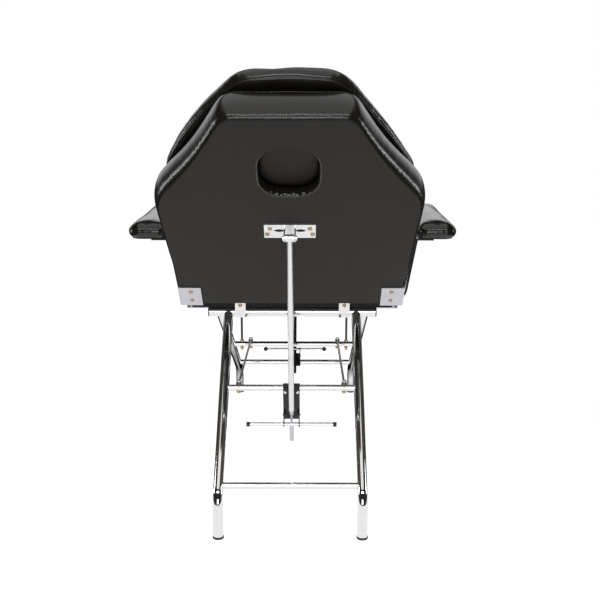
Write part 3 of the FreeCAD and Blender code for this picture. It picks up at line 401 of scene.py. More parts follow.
def backCorners(lead):
    end = up["hingeGap"] + up["backLength"]
    slope = (up["waistHalf"] - up["headHalf"]) / (end - up["waistReach"])
    return mirroredRound([
        (up["sectionHalf"], up["hingeGap"]), (up["shoulderHalf"], up["shoulderReach"]),
        (up["waistHalf"], up["waistReach"]), (up["headHalf"] - slope * lead, end + lead),
    ])


def backRadii(head):
    half = [up["cornerRadius"], up["shoulderRadius"], up["waistRadius"], head]
    return half + half[::-1]


def rectangle(halfWidth, low, high):
    return [(-halfWidth, low), (halfWidth, low), (halfWidth, high), (-halfWidth, high)]


seatCorners = rectangle(up["sectionHalf"], legPivot.y + up["lowerGap"], backPivot.y - up["hingeGap"])
legEnd = legPivot.y - up["lowerGap"]
legCorners = rectangle(up["sectionHalf"], legEnd - up["legLength"], legEnd)
legRadii = [up["farRadius"]] * 2 + [up["cornerRadius"]] * 2
holeCorners = rectangle(up["holeHalfWidth"], up["holeAlong"] - up["holeHalfLength"],
                        up["holeAlong"] + up["holeHalfLength"])
holeRadii = [up["holeRadius"]] * 4


def roundedLoop(corners, radii, step=0.004):
    # evenly spaced points round an outline, with how sharply each one turns
    rough, bend = [], []
    count = len(corners)
    for i, radius in enumerate(radii):
        corner = Vector(corners[i])
        inward = (Vector(corners[i - 1]) - corner).normalized()
        outward = (Vector(corners[(i + 1) % count]) - corner).normalized()
        half = inward.angle(outward) / 2
        reach = radius / math.tan(half)
        middle = (inward + outward).normalized()
        centre = corner + middle * (radius / math.sin(half))
        first, last = corner + inward * reach - centre, corner + outward * reach - centre
        turn = first.angle_signed(last)
        pieces = max(2, int(abs(turn) * radius / 0.002))
        for k in range(pieces + 1):
            a = -turn * k / pieces
            x, y = first.x * math.cos(a) - first.y * math.sin(a), first.x * math.sin(a) + first.y * math.cos(a)
            rough.append((centre.x + x, centre.y + y))
            bend.append(min(1.0, 0.06 / radius) if 0 < k < pieces else 0.0)
    rough, bend = np.array(rough + rough[:1]), np.array(bend + bend[:1])
    lengths = np.hypot(*np.diff(rough, axis=0).T)
    along = np.concatenate([[0.0], np.cumsum(lengths)])
    at = np.linspace(0.0, along[-1], max(8, int(along[-1] / step)), endpoint=False)
    points = np.stack([np.interp(at, along, rough[:, 0]), np.interp(at, along, rough[:, 1])], 1)
    return points, at, np.interp(at, along, bend)


def movedIn(points, inset):
    ahead, behind = np.roll(points, -1, 0), np.roll(points, 1, 0)
    tangent = ahead - behind
    tangent /= np.linalg.norm(tangent, axis=1)[:, None]
    return points + np.stack([-tangent[:, 1], tangent[:, 0]], 1) * inset


def smoothRing(values, passes):
    for _ in range(passes):
        values = (np.roll(values, 1, 0) + 2 * values + np.roll(values, -1, 0)) / 4
    return values


# Soft pieces: a copy of each soft solid, remeshed, blown up as cloth and gathered at its seams

def seam(height, inset):
    return {"height": height, "inset": inset}


wrapSetup = {
    "reach": {"back_foam": 0.0176, "seat_foam": 0.0, "leg_foam": 0.0},  # how far a cover runs on over its board
    "drape": 0.018, "drapeFrom": 0.058, "drapeFull": 0.012,  # the top layer hangs lower round its edge
    "armReach": 0.0098, "armBelly": 0.0065,
    "roll": 0.0075, "rollHeight": 0.030,  # the backrest's cover rolls outwards over its lowest seam
    "rollFade": (0.04, 0.085), "rollEdge": 0.02, "rollHinge": (0.01, 0.08),
}
swellSetup = {
    "leftSide": 0.022, "rightSide": 0.013, "from": 0.38, "to": 0.60, "reach": 0.07, "middle": (0.02, 0.12),
    "slant": (0.82, 0.57), "head": 0.018, "headHalf": 0.15, "headFrom": (0.50, 0.60),
}


def foamSeams(node):
    return [seam(-up["foam"] - wrapSetup["reach"][node], 0.001), seam(-wrapSetup["drape"], 0.0055)]


pillowSeams = [seam(-wrapSetup["drape"], 0.0056)]
foamLayer = {
    "layer": "foam", "voxel": 0.008, "low": -up["foam"], "high": 0.0, "cap": 0.005,
    "fill": 0.8, "wall": True, "even": 9,
}
pillowLayer = {
    "layer": "pillow", "voxel": 0.007, "low": 0.0, "high": up["pillow"], "seams": pillowSeams, "cap": 0.011,
    "fill": 0.7, "wall": False, "even": 9,
}
backSection = {"body": "backrest", "place": backFrame, "hingeSide": 1, "hingeAt": up["hingeGap"], "hole": True}
seatSection = {
    "body": "stand", "place": flatFrame, "corners": seatCorners, "radii": [up["cornerRadius"]] * 4,
    "hingeSide": -1, "hingeAt": seatCorners[2][1], "hole": False,
}
legSection = {
    "body": "leg_rest", "place": flatFrame, "corners": legCorners, "radii": legRadii,
    "hingeSide": -1, "hingeAt": legEnd, "hole": False,
}
softPieces = {
    "back_foam_cushion": dict(
        foamLayer, **backSection, node="back_foam", corners=backCorners(0.0),
        radii=backRadii(up["foamHeadRadius"]), seams=foamSeams("back_foam"), cap=0.007,
    ),
    "back_pillow_cushion": dict(
        pillowLayer, **backSection, node="back_pillow", corners=backCorners(up["headLead"]),
        radii=backRadii(up["pillowHeadRadius"]),
    ),
    "seat_foam_cushion": dict(foamLayer, **seatSection, node="seat_foam", seams=foamSeams("seat_foam")),
    "seat_pillow_cushion": dict(pillowLayer, **seatSection, node="seat_pillow"),
    "leg_foam_cushion": dict(foamLayer, **legSection, node="leg_foam", seams=foamSeams("leg_foam")),
    "leg_pillow_cushion": dict(pillowLayer, **legSection, node="leg_pillow"),
}
for sideName in ("left", "right"):
    low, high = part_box("arm_pad_" + sideName)
    middle = (low + high) / 2
    softPieces["arm_cushion_" + sideName] = {
        "node": "arm_pad_" + sideName, "body": "arm_" + sideName,
        "place": Matrix.Translation((middle.x, middle.y, low.z)), "voxel": 0.004,
        "corners": rectangle((high.x - low.x) / 2, low.y - middle.y, high.y - middle.y),
        "radii": [0.030] * 4, "seams": [seam(0.0, 0.003)], "low": 0.0, "high": high.z - low.z,
        "hingeSide": 0, "hole": False, "cap": 0.006, "fill": 0.8, "wall": False, "layer": "arm", "even": 12,
    }
plugLow = -up["foam"] - up["board"] - up["cover"] + up["holeRecess"]
softPieces["face_plug_cushion"] = {
    "node": "face_plug", "body": "face_plug", "place": backFrame, "voxel": 0.005, "corners": holeCorners,
    "radii": holeRadii, "seams": [seam(up["pillow"] - 0.004, 0.001)], "low": plugLow, "high": up["pillow"],
    "hingeSide": 0, "hole": False, "cap": 0.0015, "fill": 0.7, "wall": False, "layer": "plug", "even": 4,
}
clothSetup = {
    "frames": 20, "pressure": 4.0, "mass": 0.25, "stretch": 22.0, "shear": 8.0, "bend": 1.2,
    "startIn": 0.0015, "pinBand": 0.0045, "seamBand": 0.006, "holeBand": 0.016,
    "gatherStep": 0.017, "gatherReach": 0.018, "gatherFlat": 0.00006, "gatherCorner": 0.0008,
    "softStep": 7.0, "softHeight": 0.0010,
}


def coordinates(mesh):
    flat = np.zeros(len(mesh.vertices) * 3, np.float32)
    mesh.vertices.foreach_get("co", flat)
    return flat.reshape(-1, 3).astype(float)


def setCoordinates(mesh, points):
    mesh.vertices.foreach_set("co", points.astype(np.float32).ravel())
    mesh.update()


def vertexNormals(mesh):
    flat = np.zeros(len(mesh.vertices) * 3, np.float32)
    mesh.vertices.foreach_get("normal", flat)
    return flat.reshape(-1, 3).astype(float)


def bakeModifiers(piece):
    graph = bpy.context.evaluated_depsgraph_get()
    made = bpy.data.meshes.new_from_object(piece.evaluated_get(graph))
    old = piece.data
    piece.modifiers.clear()
    piece.data = made
    bpy.data.meshes.remove(old)


def meshFrom(work, name):
    mesh = bpy.data.meshes.new(name)
    work.to_mesh(mesh)
    work.free()
    return mesh


def linked(name, mesh):
    piece = bpy.data.objects.new(name, mesh)
    scene.collection.objects.link(piece)
    return piece


def loopDistance(points, loops):
    # nearest place on the seam loops: how far, how far along, and how sharply the seam turns there
    tree = kdtree.KDTree(sum(len(loop["points"]) for loop in loops))
    facts = []
    for loop in loops:
        for point, at, bend in zip(loop["points"], loop["at"], loop["bend"]):
            tree.insert(point, len(facts))
            facts.append((at, bend))
    tree.balance()
    found = [tree.find(point) for point in points]
    facts = np.array(facts)[[index for _, index, _ in found]]
    return np.array([distance for _, _, distance in found]), facts[:, 0], facts[:, 1]


def seamLoops(spec):
    points, at, bend = roundedLoop(spec["corners"], spec["radii"])
    loops = []
    for each in spec["seams"]:
        flat = movedIn(points, each["inset"])
        level = np.full((len(flat), 1), each["height"])
        loops.append({"points": np.hstack([flat, level]), "at": at, "bend": smoothRing(bend, 6)})
    return loops


def outlineTree(corners, radii):
    outline = roundedLoop(corners, radii)[0]
    tree = kdtree.KDTree(len(outline))
    for i, (x, y) in enumerate(outline):
        tree.insert((x, y, 0.0), i)
    tree.balance()
    return outline, tree


def outlineDistance(points, corners, radii):
    tree = outlineTree(corners, radii)[1]
    return np.array([tree.find((x, y, 0.0))[2] for x, y in points[:, :2]])


def smoothStep(values, low, high):
    share = np.clip((values - low) / (high - low), 0.0, 1.0)
    return share * share * (3 - 2 * share)


def wrapped(points, spec):
    # the split between the layers drops towards the outline, and the lowest edge reaches over the board
    high, low = spec["high"], spec["low"]
    edge = outlineDistance(points, spec["corners"], spec["radii"])
    drop = wrapSetup["drape"] * smoothStep(edge, wrapSetup["drapeFrom"], wrapSetup["drapeFull"])
    if spec["hole"]:
        drop *= smoothStep(outlineDistance(points, holeCorners, holeRadii), 0.01, 0.03)
    moved = points.copy()
    share = np.clip((points[:, 2] - low) / (high - low), 0.0, 1.0)
    if spec["layer"] == "foam":
        moved[:, 2] -= drop * share + wrapSetup["reach"][spec["node"]] * (1 - smoothStep(share, 0.0, 0.12))
    elif spec["layer"] == "pillow":
        moved[:, 2] -= drop * (1 - share)
    elif spec["layer"] == "arm":
        moved[:, 2] -= wrapSetup["armReach"] * (1 - smoothStep(share, 0.0, 0.4))
        height = np.clip((moved[:, 2] + wrapSetup["armReach"]) / (high + wrapSetup["armReach"]), 0.0, 1.0)
        belly = wrapSetup["armBelly"] * (np.sin(math.pi * height ** 0.8) - 0.55 * height ** 3)
        moved[:, :2] += np.sign(moved[:, :2]) * (belly * smoothStep(edge, 0.03, 0.0))[:, None]
    if spec["node"] == "back_pillow":
        moved = swollen(moved, edge)
    if spec["node"] == "back_foam":
        moved = rolled(moved, spec, edge)
    return moved


def rolled(points, spec, edge):
    above = points[:, 2] - bandLow(spec)
    lower = np.sqrt(1 - (1 - np.clip(above / wrapSetup["rollHeight"], 0.0, 1.0)) ** 2)
    amount = wrapSetup["roll"] * lower * (1 - smoothStep(above, *wrapSetup["rollFade"]))
    amount *= smoothStep(edge, wrapSetup["rollEdge"], 0.0)
    amount *= smoothStep(points[:, 1] - up["hingeGap"], *wrapSetup["rollHinge"])
    outline, tree = outlineTree(spec["corners"], spec["radii"])
    outward = (movedIn(outline, -1.0) - outline)[[tree.find((x, y, 0.0))[1] for x, y in points[:, :2]]]
    points[:, :2] += outward * amount[:, None]
    return points


def swollen(points, edge):
    # the top layer of the backrest is plumper along its slanted sides and over its head end
    setup = swellSetup
    near = smoothStep(edge, setup["reach"], 0.0)
    run = np.clip((points[:, 1] - setup["from"]) / (setup["to"] - setup["from"]), 0.0, 1.0)
    side = np.where(points[:, 0] > 0, setup["leftSide"], setup["rightSide"]) * np.sin(math.pi * run) * near
    outer = smoothStep(np.abs(points[:, 0]), *setup["middle"])
    across, along = setup["slant"]
    points[:, 0] += np.sign(points[:, 0]) * side * outer * across
    points[:, 1] += side * outer * along
    middle = np.clip(1 - (points[:, 0] / setup["headHalf"]) ** 2, 0.0, 1.0)
    points[:, 1] += setup["head"] * middle * near * smoothStep(points[:, 1], *setup["headFrom"])
    return points


def bandLow(spec):
    reach = {"foam": wrapSetup["reach"].get(spec["node"]), "pillow": wrapSetup["drape"], "arm": wrapSetup["armReach"]}
    return spec["low"] - reach.get(spec["layer"], 0.0)


def startPad(name, spec):
    mesh = nodes[spec["node"]].data.copy()
    mesh.materials.clear()
    mesh.transform(spec["place"].inverted())
    work = bmesh.new()
    work.from_mesh(mesh)
    bmesh.ops.remove_doubles(work, verts=work.verts, dist=0.00002)
    work.normal_update()
    for vertex in work.verts:
        vertex.co -= vertex.normal * clothSetup["startIn"]
    bmesh.ops.subdivide_edges(work, edges=[e for e in work.edges if e.calc_length() > 0.02], cuts=3)
    work.to_mesh(mesh)
    work.free()
    setCoordinates(mesh, wrapped(coordinates(mesh), spec))
    piece = linked(name, mesh)
    remesh = piece.modifiers.new("remesh", "REMESH")
    remesh.mode = "VOXEL"
    remesh.voxel_size = spec["voxel"]
    smooth = piece.modifiers.new("smooth", "SMOOTH")
    smooth.factor, smooth.iterations = 0.5, 5
    bakeModifiers(piece)
    return piece


def addCloth(piece, spec):
    rest = coordinates(piece.data)
    band = clothSetup["pinBand"] + clothSetup["startIn"]
    held = rest[:, 2] < bandLow(spec) + band
    if spec["wall"]:
        held |= rest[:, 2] > spec["high"] - wrapSetup["drape"] * 0.9 - band
    if spec["layer"] == "pillow":
        held |= (rest[:, 2] < band) & (outlineDistance(rest, spec["corners"], spec["radii"]) > 0.03)
    if spec["hole"]:
        held |= outlineDistance(rest, holeCorners, holeRadii) < clothSetup["holeBand"]
    spec["held"] = held
    spec["rest"] = rest
    group = piece.vertex_groups.new(name="held")
    group.add([int(i) for i in np.nonzero(held)[0]], 1.0, "REPLACE")
    cloth = piece.modifiers.new("cloth", "CLOTH")
    settings = cloth.settings
    settings.quality = 5
    settings.mass = clothSetup["mass"]
    settings.tension_stiffness = settings.compression_stiffness = clothSetup["stretch"]
    settings.shear_stiffness = clothSetup["shear"]
    settings.bending_stiffness = clothSetup["bend"]
    settings.use_pressure = True
    settings.uniform_pressure_force = clothSetup["pressure"]
    settings.effector_weights.gravity = 0.0
    settings.vertex_group_mass = "held"
    cloth.point_cache.frame_start, cloth.point_cache.frame_end = 1, clothSetup["frames"]


def limitSwell(piece, spec):
    bakeModifiers(piece)
    moved = coordinates(piece.data) - spec["rest"]
    cap = np.full(len(moved), spec["cap"])
    if spec["hingeSide"]:
        away = (spec["rest"][:, 1] - spec["hingeAt"]) * spec["hingeSide"]
        cap *= np.clip(away / 0.05, 0.1, 1.0)
    length = np.maximum(np.linalg.norm(moved, axis=1), 1e-9)
    moved *= np.minimum(1.0, cap / length)[:, None]
    setCoordinates(piece.data, spec["rest"] + moved)


def setAttribute(mesh, name, values):
    attribute = mesh.attributes.new(name, "FLOAT", "POINT")
    attribute.data.foreach_set("value", values.astype(np.float32))


def waves(points, steps, seed):
    # soft bumps: a few crossing sine waves in fixed random directions
    source = np.random.default_rng(seed)
    total = np.zeros(len(points))
    for _ in range(6):
        direction = source.normal(size=3)
        direction *= steps * source.uniform(0.7, 1.6) / np.linalg.norm(direction)
        total += np.sin(points @ direction * 2 * math.pi + source.uniform(0, 2 * math.pi))
    return total / 6


def gatherPad(piece, spec, seed):
    smooth = piece.modifiers.new("even", "SMOOTH")
    smooth.factor, smooth.iterations = 0.5, spec["even"]
    finer = piece.modifiers.new("finer", "SUBSURF")
    finer.levels = finer.render_levels = 1
    bakeModifiers(piece)
    points = coordinates(piece.data)
    loops = seamLoops(spec)
    distance, along, bend = loopDistance(points, loops)
    near = np.exp(-distance / clothSetup["gatherReach"])
    phase = along * 2 * math.pi / clothSetup["gatherStep"] + 2.5 * waves(points, 14.0, seed)
    folds = np.sin(phase) * (0.6 + 0.4 * np.sin(along * 2 * math.pi / 0.083 + seed))
    height = folds * near * (clothSetup["gatherFlat"] + clothSetup["gatherCorner"] * bend)
    loose = np.clip(distance / 0.03, 0.0, 1.0)
    height += waves(points, clothSetup["softStep"], seed + 40) * clothSetup["softHeight"] * loose
    flat = points[:, 2] < bandLow(spec) + 0.003
    if spec["wall"]:
        flat |= points[:, 2] > spec["high"] - 0.003
    if spec["hole"]:
        flat |= outlineDistance(points, holeCorners, holeRadii) < 0.003
    height[flat] = 0.0
    if spec["node"] == "face_plug":
        height *= 0.3
    setCoordinates(piece.data, points + vertexNormals(piece.data) * height[:, None])
    setAttribute(piece.data, "seamDistance", distance)
    setAttribute(piece.data, "seamAlong", along)


def closePad(piece, spec, finish):
    piece.data.transform(spec["place"])
    piece.data.materials.clear()
    piece.data.materials.append(finish)
    piece.data.shade_smooth()
    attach(piece, spec["body"])
    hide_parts(spec["node"])


pads = {}
for name, spec in softPieces.items():
    pads[name] = startPad(name, spec)
    addCloth(pads[name], spec)
print("soft pieces remeshed")
for step in range(1, clothSetup["frames"] + 1):
    scene.frame_set(step)
print("soft pieces blown up")
for number, (name, spec) in enumerate(softPieces.items()):
    limitSwell(pads[name], spec)
    gatherPad(pads[name], spec, number)
scene.frame_set(1)
print("soft pieces gathered")


# Geometry Nodes trees for piping, stitches, screws and staples

class Maker:
    def __init__(self, name, sizes):
        self.tree = bpy.data.node_groups.new(name, "GeometryNodeTree")
        face = self.tree.interface
        face.new_socket(name="Geometry", in_out="INPUT", socket_type="NodeSocketGeometry")
        for size, kind in sizes.items():
            face.new_socket(name=size, in_out="INPUT", socket_type=kind)
        face.new_socket(name="Geometry", in_out="OUTPUT", socket_type="NodeSocketGeometry")
        self.start = self.tree.nodes.new("NodeGroupInput")

    def add(self, kind, settings=None, **values):
        node = self.tree.nodes.new(kind)
        for key, value in (settings or {}).items():
            setattr(node, key, value)
        for key, value in values.items():
            target = node.inputs[key.replace("_", " ")]
            if isinstance(value, bpy.types.NodeSocket):
                self.tree.links.new(value, target)
            else:
                target.default_value = value
        return node

    def size(self, name):
        return self.start.outputs[name]

    def close(self, geometry):
        real = self.add("GeometryNodeRealizeInstances", Geometry=geometry)
        painted = self.add("GeometryNodeSetMaterial", Geometry=real.outputs[0], Material=self.size("Finish"))
        end = self.tree.nodes.new("NodeGroupOutput")
        self.tree.links.new(painted.outputs[0], end.inputs[0])
        return self.tree


def pipingTree():
    m = Maker("piping", {"Radius": "NodeSocketFloat", "Step": "NodeSocketFloat", "Finish": "NodeSocketMaterial"})
    path = m.add("GeometryNodeResampleCurve", {"mode": "LENGTH"}, Curve=m.size("Geometry"), Length=m.size("Step"))
    ring = m.add("GeometryNodeCurvePrimitiveCircle", Resolution=10, Radius=m.size("Radius"))
    tube = m.add("GeometryNodeCurveToMesh", Curve=path.outputs[0], Profile_Curve=ring.outputs[0])
    smooth = m.add("GeometryNodeSetShadeSmooth", Geometry=tube.outputs[0])
    return m.close(smooth.outputs[0])


def stitchTree():
    sizes = {"Step": "NodeSocketFloat", "Stitch": "NodeSocketObject", "Finish": "NodeSocketMaterial"}
    m = Maker("stitches", sizes)
    path = m.add("GeometryNodeResampleCurve", {"mode": "LENGTH"}, Curve=m.size("Geometry"), Length=m.size("Step"))
    points = m.add("GeometryNodeCurveToPoints", {"mode": "EVALUATED"}, Curve=path.outputs[0])
    aim = m.add("FunctionNodeAlignRotationToVector", {"axis": "X"}, Vector=points.outputs["Tangent"])
    shape = m.add("GeometryNodeObjectInfo", Object=m.size("Stitch"))
    copies = m.add("GeometryNodeInstanceOnPoints", Points=points.outputs[0], Instance=shape.outputs["Geometry"],
                   Rotation=aim.outputs[0])
    return m.close(copies.outputs[0])


def fixingTree():
    sizes = {"Fixing": "NodeSocketObject", "Turn": "NodeSocketFloat", "Finish": "NodeSocketMaterial"}
    m = Maker("fixings", sizes)
    aimField = m.add("GeometryNodeInputNamedAttribute", {"data_type": "FLOAT_VECTOR"}, Name="aim")
    aim = m.add("FunctionNodeAlignRotationToVector", {"axis": "Z"}, Vector=aimField.outputs[0])
    shape = m.add("GeometryNodeObjectInfo", Object=m.size("Fixing"))
    copies = m.add("GeometryNodeInstanceOnPoints", Points=m.size("Geometry"), Instance=shape.outputs["Geometry"],
                   Rotation=aim.outputs[0])
    spin = m.add("FunctionNodeRandomValue", {"data_type": "FLOAT"}, Seed=7)
    spin.inputs[3].default_value = 1.0
    amount = m.add("ShaderNodeMath", {"operation": "MULTIPLY"})
    m.tree.links.new(spin.outputs[1], amount.inputs[0])
    m.tree.links.new(m.size("Turn"), amount.inputs[1])
    euler = m.add("ShaderNodeCombineXYZ", Z=amount.outputs[0])
    turned = m.add("GeometryNodeRotateInstances", Instances=copies.outputs[0])
    m.tree.links.new(euler.outputs[0], turned.inputs["Rotation"])
    return m.close(turned.outputs[0])


trees = {"piping": pipingTree(), "stitches": stitchTree(), "fixings": fixingTree()}


def grown(name, source, tree, sizes):
    # runs a tree on an object and keeps the plain mesh
    modifier = source.modifiers.new("grow", "NODES")
    modifier.node_group = tree
    for item in tree.interface.items_tree:
        if item.in_out == "INPUT" and item.name in sizes:
            modifier[item.identifier] = sizes[item.name]
    graph = bpy.context.evaluated_depsgraph_get()
    mesh = bpy.data.meshes.new_from_object(source.evaluated_get(graph))
    bpy.data.objects.remove(source)
    return linked(name, mesh)


def closedCurve(points):
    data = bpy.data.curves.new("path", "CURVE")
    data.dimensions = "3D"
    spline = data.splines.new("POLY")
    spline.points.add(len(points) - 1)
    spline.points.foreach_set("co", np.hstack([points, np.ones((len(points), 1))]).ravel())
    spline.use_cyclic_u = True
    return linked("path", data)


def onSurface(loop, surface, out):
    # a seam path laid on the real surface and standing out from it
    flat = loop[:, :2]
    ahead = np.roll(flat, -1, 0) - np.roll(flat, 1, 0)
    outward = np.stack([ahead[:, 1], -ahead[:, 0], np.zeros(len(flat))], 1)
    outward /= np.linalg.norm(outward, axis=1)[:, None]
    placed = []
    for point, side in zip(loop, outward):
        start = Vector(point) + Vector(side) * 0.04
        hit = surface.ray_cast(start, -Vector(side), 0.08)[0]
        hit = surface.find_nearest(point)[0] if hit is None else hit
        placed.append(hit + Vector(side) * out)
    return smoothRing(np.array(placed), 3)


weltSetup = {
    "step": 0.004, "out": 0.35, "stitchStep": 0.0062, "stitchOut": 0.0001, "stitchRadius": 0.00045,
    "stitchLength": 0.0038, "stitchRise": 0.009,
}
midWelt, topWelt = -wrapSetup["drape"] - 0.004, -0.0128


def lowWelt(node):
    return -up["foam"] - wrapSetup["reach"][node] + 0.0022


weltPlan, stitchPlan = [], []
for section in ("back", "seat", "leg"):
    foam, pillow, low = section + "_foam_cushion", section + "_pillow_cushion", lowWelt(section + "_foam")
    weltPlan += [
        (foam, section + "_board_welt", low, 0.0028), (foam, section + "_foam_welt", midWelt, 0.0026),
        (pillow, section + "_pillow_welt", topWelt, 0.0028),
    ]
    stitchPlan.append((foam, section + "_stitches", low + weltSetup["stitchRise"]))


def capsule(name, length, radius):
    work = bmesh.new()
    bmesh.ops.create_uvsphere(work, u_segments=6, v_segments=4, radius=radius)
    for vertex in work.verts:
        vertex.co = Vector((vertex.co.z * length / (2 * radius), vertex.co.x, vertex.co.y))
    mesh = meshFrom(work, name)
    mesh.shade_smooth()
    return linked(name, mesh)


def surfaceOf(piece):
    return BVHTree.FromObject(piece, bpy.context.evaluated_depsgraph_get())


def seamCurve(padName, level, out):
    spec = softPieces[padName]
    points = roundedLoop(spec["corners"], spec["radii"])[0]
    loop = np.hstack([points, np.full((len(points), 1), level)])
    return closedCurve(onSurface(loop, surfaceOf(pads[padName]), out))


def sewnOn(piece, padName):
    piece.data.transform(softPieces[padName]["place"])
    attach(piece, softPieces[padName]["body"])


def makeWelts():
    for padName, name, level, radius in weltPlan:
        path = seamCurve(padName, level, radius * weltSetup["out"])
        sizes = {"Radius": radius, "Step": weltSetup["step"], "Finish": weltVinyl}
        sewnOn(grown(name, path, trees["piping"], sizes), padName)


def makeStitches():
    thread = capsule("thread", weltSetup["stitchLength"], weltSetup["stitchRadius"])
    for padName, name, level in stitchPlan:
        path = seamCurve(padName, level, weltSetup["stitchOut"])
        sizes = {"Step": weltSetup["stitchStep"], "Stitch": thread, "Finish": blackPlastic}
        sewnOn(grown(name, path, trees["stitches"], sizes), padName)
    bpy.data.objects.remove(thread)


bpy.context.view_layer.update()
makeWelts()
makeStitches()
print("welts and stitches sewn")

for name, spec in softPieces.items():
    isArm = name.startswith("arm")
    finish = armVinyl if isArm else panelVinyl if name == "face_plug_cushion" else glossVinyl
    closePad(pads[name], spec, finish)


# Padded lining inside the back of the face hole

liningSetup = {
    "rows": 18, "depth": 0.036, "swell": 0.0085, "gap": 0.0004, "foldHeight": 0.0005,
    "foldStep": 0.0171, "lowGain": 2.2, "step": 0.0022, "lift": 0.0006,
}


def makeLining(setup):
    ring, at, _ = roundedLoop(holeCorners, holeRadii, setup["step"])
    bottom = -up["foam"] - up["board"] - up["cover"]
    lowSide = np.clip((up["holeAlong"] - ring[:, 1]) / up["holeHalfLength"], 0.0, 1.0)
    rows = []
    for k in range(setup["rows"] + 1):
        share = k / setup["rows"]
        bulge = math.sin(math.pi * share ** 0.6) ** 0.8
        fold = np.sin(at * 2 * math.pi / setup["foldStep"] + 1.7 * np.sin(at * 41.0) + share * 1.2)
        crease = fold * setup["foldHeight"] * (0.35 + setup["lowGain"] * lowSide ** 2) * bulge
        inset = setup["gap"] + setup["swell"] * bulge * (0.55 + 0.45 * lowSide) + crease
        flat = movedIn(ring, np.maximum(inset, setup["gap"])[:, None])
        rows.append(np.hstack([flat, np.full((len(ring), 1), bottom + setup["lift"] + share * setup["depth"])]))
    outer = movedIn(ring, setup["gap"] * 0.5)
    for level in (setup["depth"], setup["lift"]):
        rows.append(np.hstack([outer, np.full((len(ring), 1), bottom + level)]))
    count, around = len(rows), len(ring)
    vertices = np.vstack(rows)
    faces = []
    for r in range(count):
        for i in range(around):
            j, s = (i + 1) % around, (r + 1) % count
            faces.append((r * around + i, r * around + j, s * around + j, s * around + i))
    mesh = bpy.data.meshes.new("face_hole_lining")
    mesh.from_pydata([tuple(v) for v in vertices], [], faces)
    work = bmesh.new()
    work.from_mesh(mesh)
    bmesh.ops.recalc_face_normals(work, faces=work.faces)
    work.to_mesh(mesh)
    work.free()
    mesh.transform(backFrame)
    mesh.materials.append(liningVinyl)
    mesh.shade_smooth()
    lining = linked("face_hole_lining", mesh)
    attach(lining, "backrest")
    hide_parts("hole_lining")


makeLining(liningSetup)
print("face hole lined")


# Screws with cross recesses, in the places of the plain ones

screwSetup = {"headRadius": 0.0052, "headHeight": 0.0026, "recess": 0.0027, "recessWidth": 0.0007, "depth": 0.0014}
screwNodes = {"seat_screws": "stand", "back_screws": "backrest", "leg_rest_screws": "leg_rest"}


def screwHead(setup):
    work = bmesh.new()
    rings, around = 9, 32
    grid = []
    for r in range(rings + 1):
        share = r / rings
        radius = setup["headRadius"] * math.sin(share * math.pi / 2) ** 0.9
        row = []
        for i in range(around):
            a = 2 * math.pi * i / around
            x, y = radius * math.cos(a), radius * math.sin(a)
            dome = setup["headHeight"] * (1 - share ** 3.2)
            width = setup["recessWidth"] * (1.6 - min(1.0, radius / setup["recess"]) * 0.9)
            inCross = min(abs(x), abs(y)) < width and max(abs(x), abs(y)) < setup["recess"]
            row.append(work.verts.new((x, y, dome - (setup["depth"] if inCross else 0.0))))
        grid.append(row)
    for inner, outer in zip(grid, grid[1:]):
        for i in range(around):
            j = (i + 1) % around
            work.faces.new((inner[i], outer[i], outer[j], inner[j]))
    bmesh.ops.remove_doubles(work, verts=work.verts, dist=0.000005)
    bmesh.ops.holes_fill(work, edges=[e for e in work.edges if e.is_boundary])
    bmesh.ops.recalc_face_normals(work, faces=work.faces)
    mesh = meshFrom(work, "screw_head")
    mesh.shade_smooth()
    return linked("screw_head", mesh)


def looseParts(node):
    work = bmesh.new()
    work.from_mesh(nodes[node].data)
    bmesh.ops.remove_doubles(work, verts=work.verts, dist=0.00002)
    seen, parts = set(), []
    for start in work.verts:
        if start in seen:
            continue
        stack, part = [start], []
        seen.add(start)
        while stack:
            vertex = stack.pop()
            part.append(vertex.co.copy())
            for edge in vertex.link_edges:
                other = edge.other_vert(vertex)
                if other not in seen:
                    seen.add(other)
                    stack.append(other)
        parts.append(np.array(part))
    work.free()
    return parts


def screwSeat(points):
    # the head is the wide end of the longest direction
    centre = points.mean(0)
    low, high = points.min(0), points.max(0)
    _, _, axes = np.linalg.svd(points - centre, full_matrices=False)
    spans = [np.ptp((points - centre) @ axis) for axis in axes]
    axis = axes[int(np.argmax(spans))]
    along = (points - centre) @ axis
    away = np.linalg.norm((points - centre) - along[:, None] * axis, axis=1)
    wide = along[away > away.max() * 0.98].mean()
    if wide < (along.min() + along.max()) / 2:
        axis, along, wide = -axis, -along, -wide
    return centre + axis * wide, axis


def makeFixings(name, seats, fixing, finish, body, turn, replaced=None):
    mesh = bpy.data.meshes.new("seats")
    mesh.from_pydata([tuple(place) for place, _ in seats], [], [])
    aims = mesh.attributes.new("aim", "FLOAT_VECTOR", "POINT")
    aims.data.foreach_set("vector", np.array([aim for _, aim in seats], np.float32).ravel())
    sizes = {"Fixing": fixing, "Turn": turn, "Finish": finish}
    piece = grown(name, linked("seats", mesh), trees["fixings"], sizes)
    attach(piece, body)
    if replaced:
        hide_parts(replaced)


head = screwHead(screwSetup)
for node, body in screwNodes.items():
    makeFixings(node + "_heads", [screwSeat(p) for p in looseParts(node)], head, goldZinc, body, 2 * math.pi, node)
bpy.data.objects.remove(head)
print("screws set")


# Staples that hold the cover under the seat and the leg rest

stapleSetup = {"width": 0.010, "wire": 0.0006, "rise": 0.0009, "inset": 0.009, "step": 0.034, "clear": 0.012}


